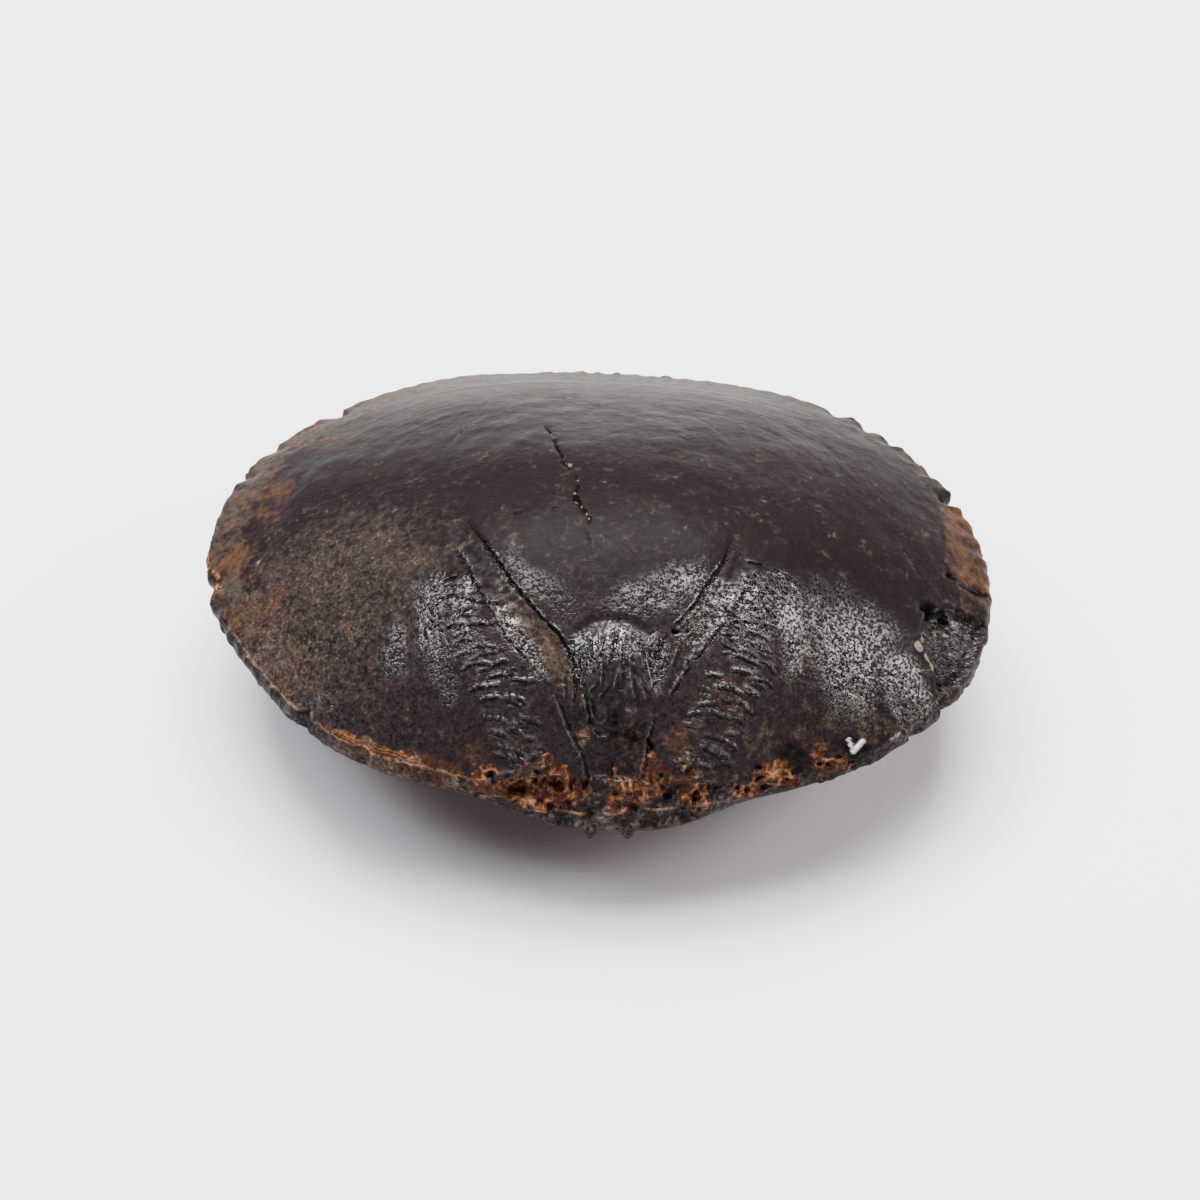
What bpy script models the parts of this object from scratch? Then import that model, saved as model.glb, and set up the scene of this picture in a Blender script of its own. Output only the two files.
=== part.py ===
"""Brachiopod fossil: the ironstone cast of a whole shell, both valves in one stone.

The stone lies on its lower valve. +Z is up, +Y runs from the hinge to the front margin and +X is to the
right when the hinge is nearest. The origin is on the resting surface, under the middle of the stone.
The script is in metres, and MM turns the sizes below, which are in millimetres, into metres.
"""

import bmesh
import bpy
import numpy as np

MM = 0.001

# Plan of the margin: its radius every 20 degrees, counter-clockwise from +X, seen from above.
RIM_RADII = [17.75, 17.05, 15.75, 14.2, 13.3, 13.5, 14.75, 16.3, 17.75]
RIM_RADII += [17.7, 16.4, 15.3, 13.8, 13.35, 13.6, 14.4, 16.15, 17.65]
HALF_LENGTH = 13.4  # from the middle of the stone to the front margin
MIDLINE = 0.55  # the shell's plane of symmetry stands this far right of the plan's middle

# The two valves.
UPPER_HEIGHT = 6.6
UPPER_LEAN = 0.5  # how far the crest leans towards the hinge
LOWER_DEPTH = 5.6
LOWER_LEAN = 0.22
LOWER_FULLNESS = 0.86  # under 1 gives a flatter floor and steeper flanks
REST_CUT = 0.3  # thickness worn off the lowest part, which leaves the face it rests on
REST_BLEND = 0.12  # height of the rounded edge round that face

# The margin, a blunt band between the valves.
EDGE_HALF = 0.5
EDGE_BULGE = 0.16
RIB_COUNT = 96
RIB_HEIGHT = 0.09
RIB_REACH = 0.16  # share of the way in from the margin over which the ribs fade out
PLATE_HEIGHT = 0.07  # roughness of the margin band
# Chips out of the margin: direction in degrees, width along the margin and depth.
CHIPS = [
    (15.4, 0.5, 0.75), (22.2, 0.5, 0.4), (26.0, 0.45, 0.4), (31.5, 0.5, 0.35), (36.5, 0.5, 0.3),
    (42.5, 0.6, 0.3), (139.0, 0.5, 0.45), (151.5, 0.5, 0.25), (158.5, 0.5, 0.3), (180.5, 0.7, 0.3),
    (212.4, 0.4, 0.45), (224.5, 0.4, 0.3), (326.8, 0.5, 0.35), (333.5, 0.6, 0.45),
]

# The hinge: the band widens into a rough face, which leans back to the lower beak.
HINGE_HALF_WIDTH = 6.6
HINGE_RISE = 0.45
HINGE_DROP = 0.55
HINGE_SETBACK = 0.9
BEAK_REACH = 0.6
HINGE_CAVITIES = [  # x, height in the band from -1 to 1, radius, depth
    (-3.6, 0.35, 0.75, 0.55), (-1.9, 0.55, 0.45, 0.5), (1.6, -0.1, 0.4, 0.35), (3.1, 0.25, 0.55, 0.5),
    (4.4, 0.2, 0.45, 0.4), (7.3, 0.3, 0.6, 0.4), (-5.2, -0.3, 0.5, 0.3), (-0.4, -0.45, 0.4, 0.35),
]
BEAK_TEETH = [(-0.35, 0.42), (1.3, 0.38)]  # x and length of the two points under the beak
TOOTH_RADII = (0.42, 0.67)
TOOTH_INSET = 0.35  # from the edge of the lower beak

# Slots left by the plates inside the shell, from the front end to the beak.
SLOTS = [
    [(-6.1, -2.7), (-4.8, -4.6), (-3.4, -6.9), (-1.9, -8.5), (-1.1, -9.9), (-0.9, -11.2), (0.1, -13.3)],
    [(7.0, -2.5), (6.1, -5.3), (4.8, -7.1), (3.5, -8.6), (2.5, -9.9), (2.4, -11.2), (1.6, -13.3)],
]
SLOT_HALF_WIDTH = 0.3
SLOT_DEPTH = 0.42
# Outer edges of the smooth bands beside the slots.
BAND_EDGES = [
    [(-6.4, -3.2), (-5.8, -4.8), (-4.5, -7.3), (-3.2, -8.7), (-1.9, -10.2)],
    [(7.5, -3.4), (7.0, -4.8), (5.9, -7.1), (4.6, -8.9), (3.1, -10.6)],
]
BAND_EDGE_HALF_WIDTH = 0.24
BAND_EDGE_DEPTH = 0.2
BAND_SINK = 0.12

# The knob between the slots, the trough from it to the beak and the thin wall along the trough.
KNOB = (MIDLINE, -9.6)
KNOB_RADII = (1.75, 1.6)
KNOB_HEIGHT = 0.75
TROUGH = [(MIDLINE, -12.0), (0.75, -13.6)]
TROUGH_HALF_WIDTH = 1.2
TROUGH_DEPTH = 0.6
SEPTUM_HALF_WIDTH = 0.2
SEPTUM_HEIGHT = 0.3
# Holes in the upper valve: x, y, radius and depth. Two are under the knob, one in a slot, one by the break.
PITS = [(-0.15, -11.2, 0.55, 0.6), (1.35, -11.2, 0.55, 0.6), (3.15, -8.95, 0.32, 0.35), (14.9, -4.1, 0.8, 0.9)]

# Fields of short cross ridges on both flanks of the beak.
FIELD_AXES = [[(-6.7, -4.9), (-2.9, -12.1)], [(8.0, -4.7), (4.0, -12.1)]]
FIELD_ROWS = 10
FIELD_SWELL = 0.35
FIELD_HALF_WIDTH = 2.4
DASH_OFFSETS = (-1.15, -0.3, 0.6)  # places of the ridges across a row
DASH_SCATTER = 0.15
DASH_HALF_LENGTH = 0.5
DASH_HALF_WIDTH = 0.22
DASH_HEIGHT = 0.22

# The broken place on the right margin, and a short fracture beyond it.
BREAK = [(15.0, -4.2), (14.3, -6.9), (15.6, -8.0), (18.3, -6.0), (18.6, -2.6), (16.9, -2.7)]
BREAK_DEPTH = 0.5
BREAK_EDGE = 0.5  # width of the slope round it
FRACTURE = [(15.9, -0.9), (16.8, -1.3), (18.3, -1.2)]

# Growth ledges round the front of both valves, as shares of the way out to the margin.
GROWTH_LEDGES = [0.68, 0.74, 0.79, 0.835, 0.875]
LEDGE_HEIGHT = 0.06
LEDGE_RISE, LEDGE_RUN = 0.012, 0.05

# The lower valve: a shallow fold in front, and the raised two-lobed muscle scar behind.
FOLD_HALF_WIDTH = 4.2
FOLD_DEPTH = 0.5
SCAR_LOBES = [(-2.1, -6.3), (3.2, -6.3)]
SCAR_RADII = (2.5, 3.9)
SCAR_HEIGHT = 0.45
LOWER_SLOTS = [
    [(-0.7, -12.9), (-3.6, -10.2), (-5.0, -6.9), (-4.4, -3.6)],
    [(1.8, -12.9), (4.7, -10.2), (6.1, -6.9), (5.5, -3.6)],
]

GRID_X, GRID_Y = 132, 100  # quads across and along, before the surface is thinned
WALL_ROWS = 4
TRIANGLES = 9200  # what is left after thinning


def smooth_step(value):
    """0 below 0, 1 above 1, and a smooth curve between."""
    t = np.clip(value, 0.0, 1.0)
    return t * t * (3.0 - 2.0 * t)


def mound(x, y, centre, radii, height):
    """A round mound of that height, which ends at the radii."""
    reach = np.hypot((x - centre[0]) / radii[0], (y - centre[1]) / radii[1])
    return height * smooth_step(1.0 - reach)


def nearest_on_path(x, y, path):
    """Distance to a path of straight runs, and the share of the way along it."""
    corners = np.array(path, float)
    runs = np.linalg.norm(np.diff(corners, axis=0), axis=1)
    starts = np.concatenate([[0.0], np.cumsum(runs)])
    nearest = np.full(x.shape, np.inf)
    along = np.zeros(x.shape)
    for i, length in enumerate(runs):
        dx, dy = (corners[i + 1] - corners[i]) / length
        ahead = (x - corners[i][0]) * dx + (y - corners[i][1]) * dy
        left = (y - corners[i][1]) * dx - (x - corners[i][0]) * dy
        distance = np.hypot(left, ahead - np.clip(ahead, 0.0, length))
        closer = distance < nearest
        nearest = np.where(closer, distance, nearest)
        along = np.where(closer, (starts[i] + np.clip(ahead, 0.0, length)) / starts[-1], along)
    return nearest, along


def groove(x, y, path, half_width, depth):
    """A groove along a path, which runs out at both ends."""
    distance, along = nearest_on_path(x, y, path)
    ends = smooth_step(along / 0.12) * smooth_step((1.0 - along) / 0.06)
    return -depth * ends * smooth_step(1.0 - distance / half_width)


def rim_radius(angle):
    """The margin's radius in a direction, on a smooth closed curve through RIM_RADII."""
    count = len(RIM_RADII)
    place = (angle / (2.0 * np.pi) * count) % count
    first = np.floor(place).astype(int)
    t = place - first
    before, start, end, after = (np.take(RIM_RADII, first + k, mode="wrap") for k in (-1, 0, 1, 2))
    bend = 2.0 * before - 5.0 * start + 4.0 * end - after
    twist = 3.0 * (start - end) + after - before
    return 0.5 * (2.0 * start + (end - before) * t + bend * t**2 + twist * t**3)


def chip_depth(angle):
    """How far the margin is broken back in a direction: a steep bite, with a gentler side after it."""
    radius = rim_radius(angle)
    total = np.zeros(angle.shape)
    for degrees, width, depth in CHIPS:
        turn = (angle - np.radians(degrees) + np.pi) % (2.0 * np.pi) - np.pi
        along = turn * radius / width
        bite = np.where(along < 0.0, 1.0 + along / 0.6, 1.0 - along / 1.8)
        total += depth * smooth_step(bite)
    return total


def hinge_share(x, share, angle):
    """1 at the margin in the middle of the hinge, and 0 beyond its ends and away from the margin."""
    along = smooth_step((1.0 - np.abs(x - MIDLINE) / HINGE_HALF_WIDTH) / 0.7)
    return along * smooth_step(-1.6 * np.sin(angle)) * smooth_step((share - 0.7) / 0.3)


def rib_share(angle):
    """The ribs are strongest in front and weak behind, where the margin is worn, with none at the hinge."""
    return 1.0 - 0.65 * smooth_step(-2.0 * np.sin(angle)) - 0.35 * smooth_step(-3.0 * np.sin(angle) - 1.6)


def plan_of(u, v):
    """The square from -1 to 1 laid on the plan. Returns x, y, the share of the way out and the direction."""
    across = u * np.sqrt(1.0 - v * v / 2.0)
    along = v * np.sqrt(1.0 - u * u / 2.0)
    share = np.hypot(across, along)
    angle = np.arctan2(along, across)
    ribs = RIB_HEIGHT * np.cos(RIB_COUNT * angle)
    near_edge = smooth_step((share - 1.0 + RIB_REACH / 2.0) / (RIB_REACH / 2.0))
    radius = rim_radius(angle) + near_edge * (ribs * rib_share(angle) - chip_depth(angle))
    return share * radius * np.cos(angle), share * radius * np.sin(angle), share, angle


def valve_height(y, share, height, lean, fullness):
    """Height of a valve over its edge, highest where it leans towards the hinge."""
    return height * np.power(np.maximum(1.0 - share**2, 0.0), fullness) * np.exp(-lean * y / HALF_LENGTH)


def base_points(u, v, w):
    """Points of the plain stone. w is 1 on the upper valve, -1 on the lower, and between on the margin."""
    x, y, share, angle = plan_of(u, v)
    hinge = hinge_share(x, share, angle)
    upper = EDGE_HALF + HINGE_RISE * hinge
    lower = -EDGE_HALF - HINGE_DROP * hinge
    top = upper + valve_height(y, share, UPPER_HEIGHT, UPPER_LEAN, 1.0)
    bottom = lower - valve_height(y, share, LOWER_DEPTH, LOWER_LEAN, LOWER_FULLNESS)
    z = np.where(w >= 1.0, top, np.where(w <= -1.0, bottom, lower + (upper - lower) * (w + 1.0) / 2.0))
    # The margin bulges a little, and at the hinge it leans from the upper edge back to the lower beak.
    out = EDGE_BULGE * np.maximum(1.0 - w * w, 0.0)
    lean_back = hinge * (BEAK_REACH - (BEAK_REACH + HINGE_SETBACK) * (w + 1.0) / 2.0)
    return x + out * np.cos(angle), y + out * np.sin(angle) - lean_back, z


def rib_relief(share, angle):
    """Fine ribs that run in from the margin."""
    fade = smooth_step((share - 1.0 + RIB_REACH) / RIB_REACH)
    return 0.7 * RIB_HEIGHT * np.cos(RIB_COUNT * angle) * fade * rib_share(angle)


def ledge_relief(y, share):
    """Growth ledges: each steps down towards the margin, and fades out behind."""
    front = smooth_step((y + 4.0) / 6.0)
    total = np.zeros(share.shape)
    for place in GROWTH_LEDGES:
        past = share - place
        total -= LEDGE_HEIGHT * smooth_step(past / LEDGE_RISE) * smooth_step(1.0 - past / LEDGE_RUN)
    return total * front


def dash_relief(x, y, dash_x, dash_y, half_length):
    """One short bowed cross ridge, hollow on its hinge side."""
    across = (x - dash_x) / half_length
    bow = 0.25 * across**2
    ahead = (y - dash_y) / DASH_HALF_WIDTH + bow
    ridge = smooth_step(1.0 - np.abs(ahead - 0.5))
    hollow = smooth_step(1.0 - np.abs(ahead + 0.7))
    return DASH_HEIGHT * smooth_step(1.25 - np.abs(across)) * (0.8 * ridge - hollow)


def field_relief(x, y):
    """The swollen flanks of the beak, with their rows of cross ridges."""
    total = np.zeros(x.shape)
    chance = np.random.default_rng(7)
    for axis in FIELD_AXES:
        start, end = np.array(axis, float)
        outward = np.sign(start[0] - MIDLINE)
        distance, along = nearest_on_path(x, y, axis)
        total += FIELD_SWELL * smooth_step(1.0 - distance / FIELD_HALF_WIDTH) * smooth_step(along / 0.2)
        for row in range(FIELD_ROWS):
            row_x, row_y = start + (end - start) * (row + 0.5) / FIELD_ROWS
            for offset in DASH_OFFSETS:
                slant = 0.22 * outward + 0.3 * (row % 2)
                dash_x = row_x + offset + chance.uniform(-DASH_SCATTER, DASH_SCATTER)
                dash_y = row_y + slant * offset + chance.uniform(-DASH_SCATTER, DASH_SCATTER)
                half_length = DASH_HALF_LENGTH * chance.uniform(0.75, 1.25)
                total += dash_relief(x, y, dash_x, dash_y, half_length)
    return total


def inside(x, y, corners):
    """Signed distance to a polygon's outline, positive inside it."""
    distance, _ = nearest_on_path(x, y, corners + corners[:1])
    within = np.zeros(x.shape, bool)
    for (x0, y0), (x1, y1) in zip(corners, corners[1:] + corners[:1]):
        crosses = (y0 > y) != (y1 > y)
        step = np.where(crosses, (y1 - y0), 1.0)
        within ^= crosses & (x < x0 + (x1 - x0) * (y - y0) / step)
    return np.where(within, distance, -distance)


def break_relief(x, y):
    """The broken place, with slanting ridges on its floor, and the fracture beyond it."""
    depth = smooth_step(inside(x, y, BREAK) / BREAK_EDGE)
    ridges = 0.5 + 0.5 * np.sin(7.0 * (y + 0.5 * x) + 1.5 * np.sin(1.7 * x))
    return groove(x, y, FRACTURE, 0.25, 0.35) - depth * BREAK_DEPTH * (1.0 - 0.55 * ridges)


def knob_relief(x, y):
    """The knob and the trough that runs from it to the beak, with the thin wall in its middle."""
    distance, _ = nearest_on_path(x, y, TROUGH)
    trough = TROUGH_DEPTH * smooth_step(1.0 - distance / TROUGH_HALF_WIDTH)
    septum = SEPTUM_HEIGHT * smooth_step(1.0 - distance / SEPTUM_HALF_WIDTH)
    return mound(x, y, KNOB, KNOB_RADII, KNOB_HEIGHT) - trough + septum


def pit_relief(x, y):
    total = np.zeros(x.shape)
    for pit_x, pit_y, radius, depth in PITS:
        total += mound(x, y, (pit_x, pit_y), (radius, radius * 0.8), -depth)
    return total


def slot_relief(x, y):
    """The slots, the sunk bands beside them and the grooves along those bands."""
    total = np.zeros(x.shape)
    for slot, edge in zip(SLOTS, BAND_EDGES):
        total += groove(x, y, slot, SLOT_HALF_WIDTH, SLOT_DEPTH)
        total += groove(x, y, edge, BAND_EDGE_HALF_WIDTH, BAND_EDGE_DEPTH)
        band = slot[:5] + edge[::-1]
        total -= BAND_SINK * smooth_step(inside(x, y, band) / 0.35 + 0.5)
    return total


def upper_relief(x, y, share, angle):
    """Everything that stands out of, or is cut into, the upper valve."""
    relief = rib_relief(share, angle) + ledge_relief(y, share) + field_relief(x, y)
    return relief + break_relief(x, y) + knob_relief(x, y) + slot_relief(x, y) + pit_relief(x, y)


def lower_relief(x, y, share, angle):
    """The lower valve's fold, muscle scar, slots, ledges and ribs. Positive is outwards, which is down."""
    relief = rib_relief(share, angle) + ledge_relief(y, share)
    fold = smooth_step(1.0 - np.abs(x - MIDLINE) / FOLD_HALF_WIDTH) * smooth_step((y - 1.0) / 8.0)
    relief -= FOLD_DEPTH * fold * smooth_step((1.05 - share) / 0.2)
    for lobe in SCAR_LOBES:
        relief += mound(x, y, lobe, SCAR_RADII, SCAR_HEIGHT)
    for slot in LOWER_SLOTS:
        relief += groove(x, y, slot, SLOT_HALF_WIDTH, SLOT_DEPTH)
    for tooth_x, length in BEAK_TEETH:
        relief += mound(x, y, (tooth_x, TOOTH_INSET - HALF_LENGTH - BEAK_REACH), TOOTH_RADII, length)
    return relief


def edge_relief(x, w, angle):
    """The margin band: cavities along the hinge, and rough plates elsewhere."""
    relief = PLATE_HEIGHT * np.sin(31.0 * angle + 2.0 * w) * np.sin(17.0 * angle)
    at_hinge = np.sin(angle) < 0.0
    for centre, height, radius, depth in HINGE_CAVITIES:
        reach = np.hypot((x - centre) / radius, (w - height) / radius)
        relief -= np.where(at_hinge, depth * smooth_step(1.0 - reach), 0.0)
    return relief


def make_slab():
    """A grid pulled up into a slab: the mesh that the stone is shaped from. Its corners are at -1 and 1."""
    mesh = bmesh.new()
    bmesh.ops.create_grid(mesh, x_segments=GRID_X, y_segments=GRID_Y, size=1.0)
    bmesh.ops.translate(mesh, verts=mesh.verts, vec=(0.0, 0.0, -1.0))
    bmesh.ops.reverse_faces(mesh, faces=mesh.faces)
    raised = list(mesh.faces)
    for row in range(WALL_ROWS):
        made = bmesh.ops.extrude_face_region(mesh, geom=raised, use_keep_orig=row == 0)["geom"]
        if row:
            bmesh.ops.delete(mesh, geom=raised, context="FACES_KEEP_BOUNDARY")
        points = [item for item in made if isinstance(item, bmesh.types.BMVert)]
        bmesh.ops.translate(mesh, verts=points, vec=(0.0, 0.0, 2.0 / WALL_ROWS))
        raised = [item for item in made if isinstance(item, bmesh.types.BMFace)]
    bmesh.ops.recalc_face_normals(mesh, faces=mesh.faces)
    return mesh


def stone_points(mesh):
    """The places of the slab's points on the stone, in millimetres, with the relief along its own normals."""
    flat = np.array([vertex.co for vertex in mesh.verts])
    u, v, w = flat.T
    base = np.stack(base_points(u, v, w), axis=1)
    for vertex, place in zip(mesh.verts, base):
        vertex.co = place
    mesh.normal_update()
    normals = np.array([vertex.normal for vertex in mesh.verts])
    _, _, share, angle = plan_of(u, v)
    x, y, _ = base.T
    on_top, below = w > 0.999, w < -0.999
    relief = np.where(on_top, upper_relief(x, y, share, angle), edge_relief(x, w, angle))
    relief = np.where(below, lower_relief(x, y, share, angle), relief)
    shaped = base + normals * relief[:, None]
    shaped[:, 2] = worn_flat(shaped[:, 2], shaped[:, 2].min() + REST_CUT)
    return shaped


def worn_flat(height, floor):
    """Heights with all under the floor lifted to it, over a short rounded edge."""
    above = height - floor
    blend = np.maximum(1.0 - np.abs(above) / REST_BLEND, 0.0)
    return floor + np.maximum(above, 0.0) + REST_BLEND * blend**2 / 4.0


def settle(points):
    """Puts the middle of the stone over the origin, and its resting face on the ground."""
    middle = (points.min(axis=0) + points.max(axis=0)) / 2.0
    return points - (middle[0], middle[1], points[:, 2].min())


def ironstone():
    """Dark brown ironstone, with a dull polish."""
    material = bpy.data.materials.new("ironstone")
    material.use_nodes = True
    surface = material.node_tree.nodes["Principled BSDF"]
    surface.inputs["Base Color"].default_value = (0.045, 0.033, 0.032, 1.0)
    surface.inputs["Roughness"].default_value = 0.42
    surface.inputs["Metallic"].default_value = 0.0
    return material


def clear_scene():
    for item in list(bpy.data.objects):
        bpy.data.objects.remove(item)


def build():
    clear_scene()
    collection = bpy.data.collections.new("Brachiopod fossil")
    bpy.context.scene.collection.children.link(collection)
    mesh = make_slab()
    places = settle(stone_points(mesh)) * MM
    for vertex, place in zip(mesh.verts, places):
        vertex.co = place
    data = bpy.data.meshes.new("brachiopod_fossil")
    mesh.to_mesh(data)
    full_count = sum(len(face.verts) - 2 for face in mesh.faces)
    mesh.free()
    data.materials.append(ironstone())
    data.shade_smooth()
    stone = bpy.data.objects.new("brachiopod_fossil", data)
    collection.objects.link(stone)
    thin = stone.modifiers.new("Thin the surface", "DECIMATE")
    thin.ratio = TRIANGLES / full_count
    thin.use_collapse_triangulate = True


build()
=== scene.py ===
import math
import bpy
import numpy as np
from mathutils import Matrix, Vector
from types import SimpleNamespace


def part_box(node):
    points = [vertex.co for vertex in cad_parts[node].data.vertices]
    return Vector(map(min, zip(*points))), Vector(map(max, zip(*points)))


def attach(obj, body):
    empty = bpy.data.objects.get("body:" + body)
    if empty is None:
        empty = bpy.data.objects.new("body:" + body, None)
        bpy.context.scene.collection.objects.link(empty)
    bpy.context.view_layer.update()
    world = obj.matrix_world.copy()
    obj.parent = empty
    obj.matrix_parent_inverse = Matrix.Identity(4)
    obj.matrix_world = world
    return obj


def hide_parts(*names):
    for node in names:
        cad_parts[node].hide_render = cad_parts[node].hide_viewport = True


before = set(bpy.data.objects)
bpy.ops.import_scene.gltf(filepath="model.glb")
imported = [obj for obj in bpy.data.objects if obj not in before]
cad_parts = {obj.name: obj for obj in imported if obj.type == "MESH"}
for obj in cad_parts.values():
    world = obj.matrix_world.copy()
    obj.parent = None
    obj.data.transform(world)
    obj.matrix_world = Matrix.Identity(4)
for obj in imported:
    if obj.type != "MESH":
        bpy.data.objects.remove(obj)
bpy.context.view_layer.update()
stoneNode = "brachiopod_fossil"
cadLow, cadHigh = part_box(stoneNode)
mm = 0.001
print("frame loaded")


# Tools for shaping. They work in millimetres in the plan of the stone, with the hinge at -Y.


def smoothStep(value):  # 0 below 0, 1 above 1, and a smooth curve between
    t = np.clip(value, 0.0, 1.0)
    return t * t * (3.0 - 2.0 * t)


def mound(x, y, centre, radii):  # 1 at the centre, 0 from the radii on
    return smoothStep(1.0 - np.hypot((x - centre[0]) / radii[0], (y - centre[1]) / radii[1]))


def nearestOnPath(x, y, path):  # distance, side (1 on the left) and share of the way along
    corners = np.array(path, float)
    runs = np.linalg.norm(np.diff(corners, axis=0), axis=1)
    starts = np.concatenate([[0.0], np.cumsum(runs)])
    nearest = np.full(x.shape, np.inf)
    side = np.zeros(x.shape)
    along = np.zeros(x.shape)
    for i, length in enumerate(runs):
        dx, dy = (corners[i + 1] - corners[i]) / length
        ahead = (x - corners[i][0]) * dx + (y - corners[i][1]) * dy
        left = (y - corners[i][1]) * dx - (x - corners[i][0]) * dy
        distance = np.hypot(left, ahead - np.clip(ahead, 0.0, length))
        closer = distance < nearest
        nearest = np.where(closer, distance, nearest)
        side = np.where(closer, np.sign(left), side)
        along = np.where(closer, (starts[i] + np.clip(ahead, 0.0, length)) / starts[-1], along)
    return nearest, side, along


def fadeEnds(along, start, end):  # 1 on most of a path and 0 at its ends, over those shares of its length
    return smoothStep(along / start) * smoothStep((1.0 - along) / end)


def stroke(x, y, path, halfWidth, fadeIn=0.1, fadeOut=0.06):  # 1 along a path, 0 beside it
    distance, _, along = nearestOnPath(x, y, path)
    return fadeEnds(along, fadeIn, fadeOut) * smoothStep(1.0 - distance / halfWidth)


# Thin marks on the stone, such as ridges. Every point keeps how many half widths away the nearest line is,
# less than 0 on the line's right, and how strong that line is.
class Lines:
    farthest = 4.0  # in half widths
    reach = 0.13  # past it, and past the line's own edge, the sign may jump, so a line stops there

    def __init__(self, count):
        self.away = np.full(count, self.farthest)
        self.strength = np.zeros(count)

    def draw(self, distance, halfWidth, strength, chosen=slice(None)):
        away = distance / halfWidth
        closer = np.abs(away) < np.abs(self.away[chosen])
        shown = np.where(np.abs(distance) < max(self.reach, 1.2 * halfWidth), strength, 0.0)
        self.away[chosen] = np.where(closer, away, self.away[chosen])
        self.strength[chosen] = np.where(closer, shown, self.strength[chosen])

    def drawPath(self, x, y, path, halfWidth, strength, fade=0.2):
        chosen = np.flatnonzero(nearBox(x, y, path, 0.3))
        distance, side, along = nearestOnPath(x[chosen], y[chosen], path)
        if not np.isscalar(strength):
            strength = strength[chosen]
        self.draw(distance * side, halfWidth, strength * fadeEnds(along, fade, fade), chosen)

    def form(self):
        return smoothStep(1.0 - np.abs(self.away)) * self.strength


def nearBox(x, y, path, margin):
    low = np.min(path, axis=0) - margin
    high = np.max(path, axis=0) + margin
    return (x > low[0]) & (x < high[0]) & (y > low[1]) & (y < high[1])


def inside(x, y, corners):  # distance to an outline, positive inside it
    loop = list(corners) + [corners[0]]
    distance, _, _ = nearestOnPath(x, y, loop)
    within = np.zeros(x.shape, bool)
    for (x0, y0), (x1, y1) in zip(loop, loop[1:]):
        crosses = (y0 > y) != (y1 > y)
        rise = np.where(crosses, y1 - y0, 1.0)
        within ^= crosses & (x < x0 + (x1 - x0) * (y - y0) / rise)
    return np.where(within, distance, -distance)


def chance(cells, seed):  # a fixed random number from 0 to 1 for each whole-numbered cell
    mixed = (cells[..., 0] * 73856093) ^ (cells[..., 1] * 19349663) ^ (cells[..., 2] * 83492791)
    mixed = (mixed ^ (seed * 2654435761)) & 0xFFFFFFFF
    for _ in range(2):
        mixed = ((mixed ^ (mixed >> 15)) * 2246822519) & 0xFFFFFFFF
    return (mixed ^ (mixed >> 13)) % 65536 / 65535.0


def cloud(points, size, seed, layers=1):  # soft lumps of that size, from -1 to 1
    total = np.zeros(len(points))
    share = 1.0
    for layer in range(layers):
        place = points / size * 2.0**layer
        cell = np.floor(place).astype(np.int64)
        t = place - cell
        t = t * t * (3.0 - 2.0 * t)
        value = np.zeros(len(points))
        for corner in range(8):
            step = np.array([corner & 1, corner >> 1 & 1, corner >> 2])
            weight = np.prod(np.where(step, t, 1.0 - t), axis=1)
            value += weight * chance(cell + step, seed + layer)
        total += share * (2.0 * value - 1.0)
        share *= 0.5
    return total


def wrinkles(points, across, along, seed, lean):  # thin crests that run along Y, from 0 to 1
    stretched = points / np.array([across, along, along])
    stretched[:, 0] += lean * points[:, 1] / across
    return smoothStep(1.0 - 2.2 * np.abs(cloud(stretched, 1.0, seed)))


def cells(points, size, seed):  # distances to the nearest and the second nearest of scattered seeds
    place = points / size
    home = np.floor(place).astype(np.int64)
    first = np.full(len(points), 9.0)
    second = np.full(len(points), 9.0)
    for corner in range(27):
        step = np.array([corner % 3, corner // 3 % 3, corner // 9]) - 1
        cell = home + step
        seedPoint = cell + np.stack([chance(cell, seed + k) for k in (11, 12, 13)], axis=1)
        distance = np.linalg.norm(place - seedPoint, axis=1)
        second = np.minimum(second, np.maximum(first, distance))
        first = np.minimum(first, distance)
    return first, second


# The stone's plain form, which is that of the solid in the frame.
shell = dict(
    rimRadii=(  # every 20 degrees, counter-clockwise from the right
        17.75, 17.05, 15.75, 14.2, 13.3, 13.5, 14.75, 16.3, 17.75,
        17.7, 16.4, 15.3, 13.8, 13.35, 13.6, 14.4, 16.15, 17.65,
    ),
    halfLength=13.4, midline=0.55,
    upperHeight=6.6, upperLean=0.5,
    lowerDepth=5.6, lowerLean=0.22, lowerFullness=0.86,
    restCut=0.3, restBlend=0.12,
    edgeHalf=0.5, edgeBulge=0.16,
    ribCount=96, ribHeight=0.05, ribReach=0.12,
    chips=(  # direction in degrees, width, depth
        (15.4, 0.5, 0.75), (22.2, 0.5, 0.25), (26.0, 0.45, 0.25), (31.5, 0.5, 0.25), (36.5, 0.5, 0.3),
        (42.5, 0.6, 0.3), (139.0, 0.5, 0.45), (151.5, 0.5, 0.25), (158.5, 0.5, 0.3), (180.5, 0.7, 0.3),
        (212.4, 0.4, 0.45), (224.5, 0.4, 0.3), (326.8, 0.5, 0.35), (333.5, 0.6, 0.45),
    ),
    hingeHalfWidth=6.6, hingeRise=0.45, hingeDrop=0.4, hingeSetback=0.9, beakReach=0.6,
)


def rimRadius(angle):
    radii = shell["rimRadii"]
    place = (angle / (2.0 * np.pi) * len(radii)) % len(radii)
    first = np.floor(place).astype(int)
    t = place - first
    before, start, end, after = (np.take(radii, first + k, mode="wrap") for k in (-1, 0, 1, 2))
    bend = 2.0 * before - 5.0 * start + 4.0 * end - after
    twist = 3.0 * (start - end) + after - before
    return 0.5 * (2.0 * start + (end - before) * t + bend * t**2 + twist * t**3)


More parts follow.
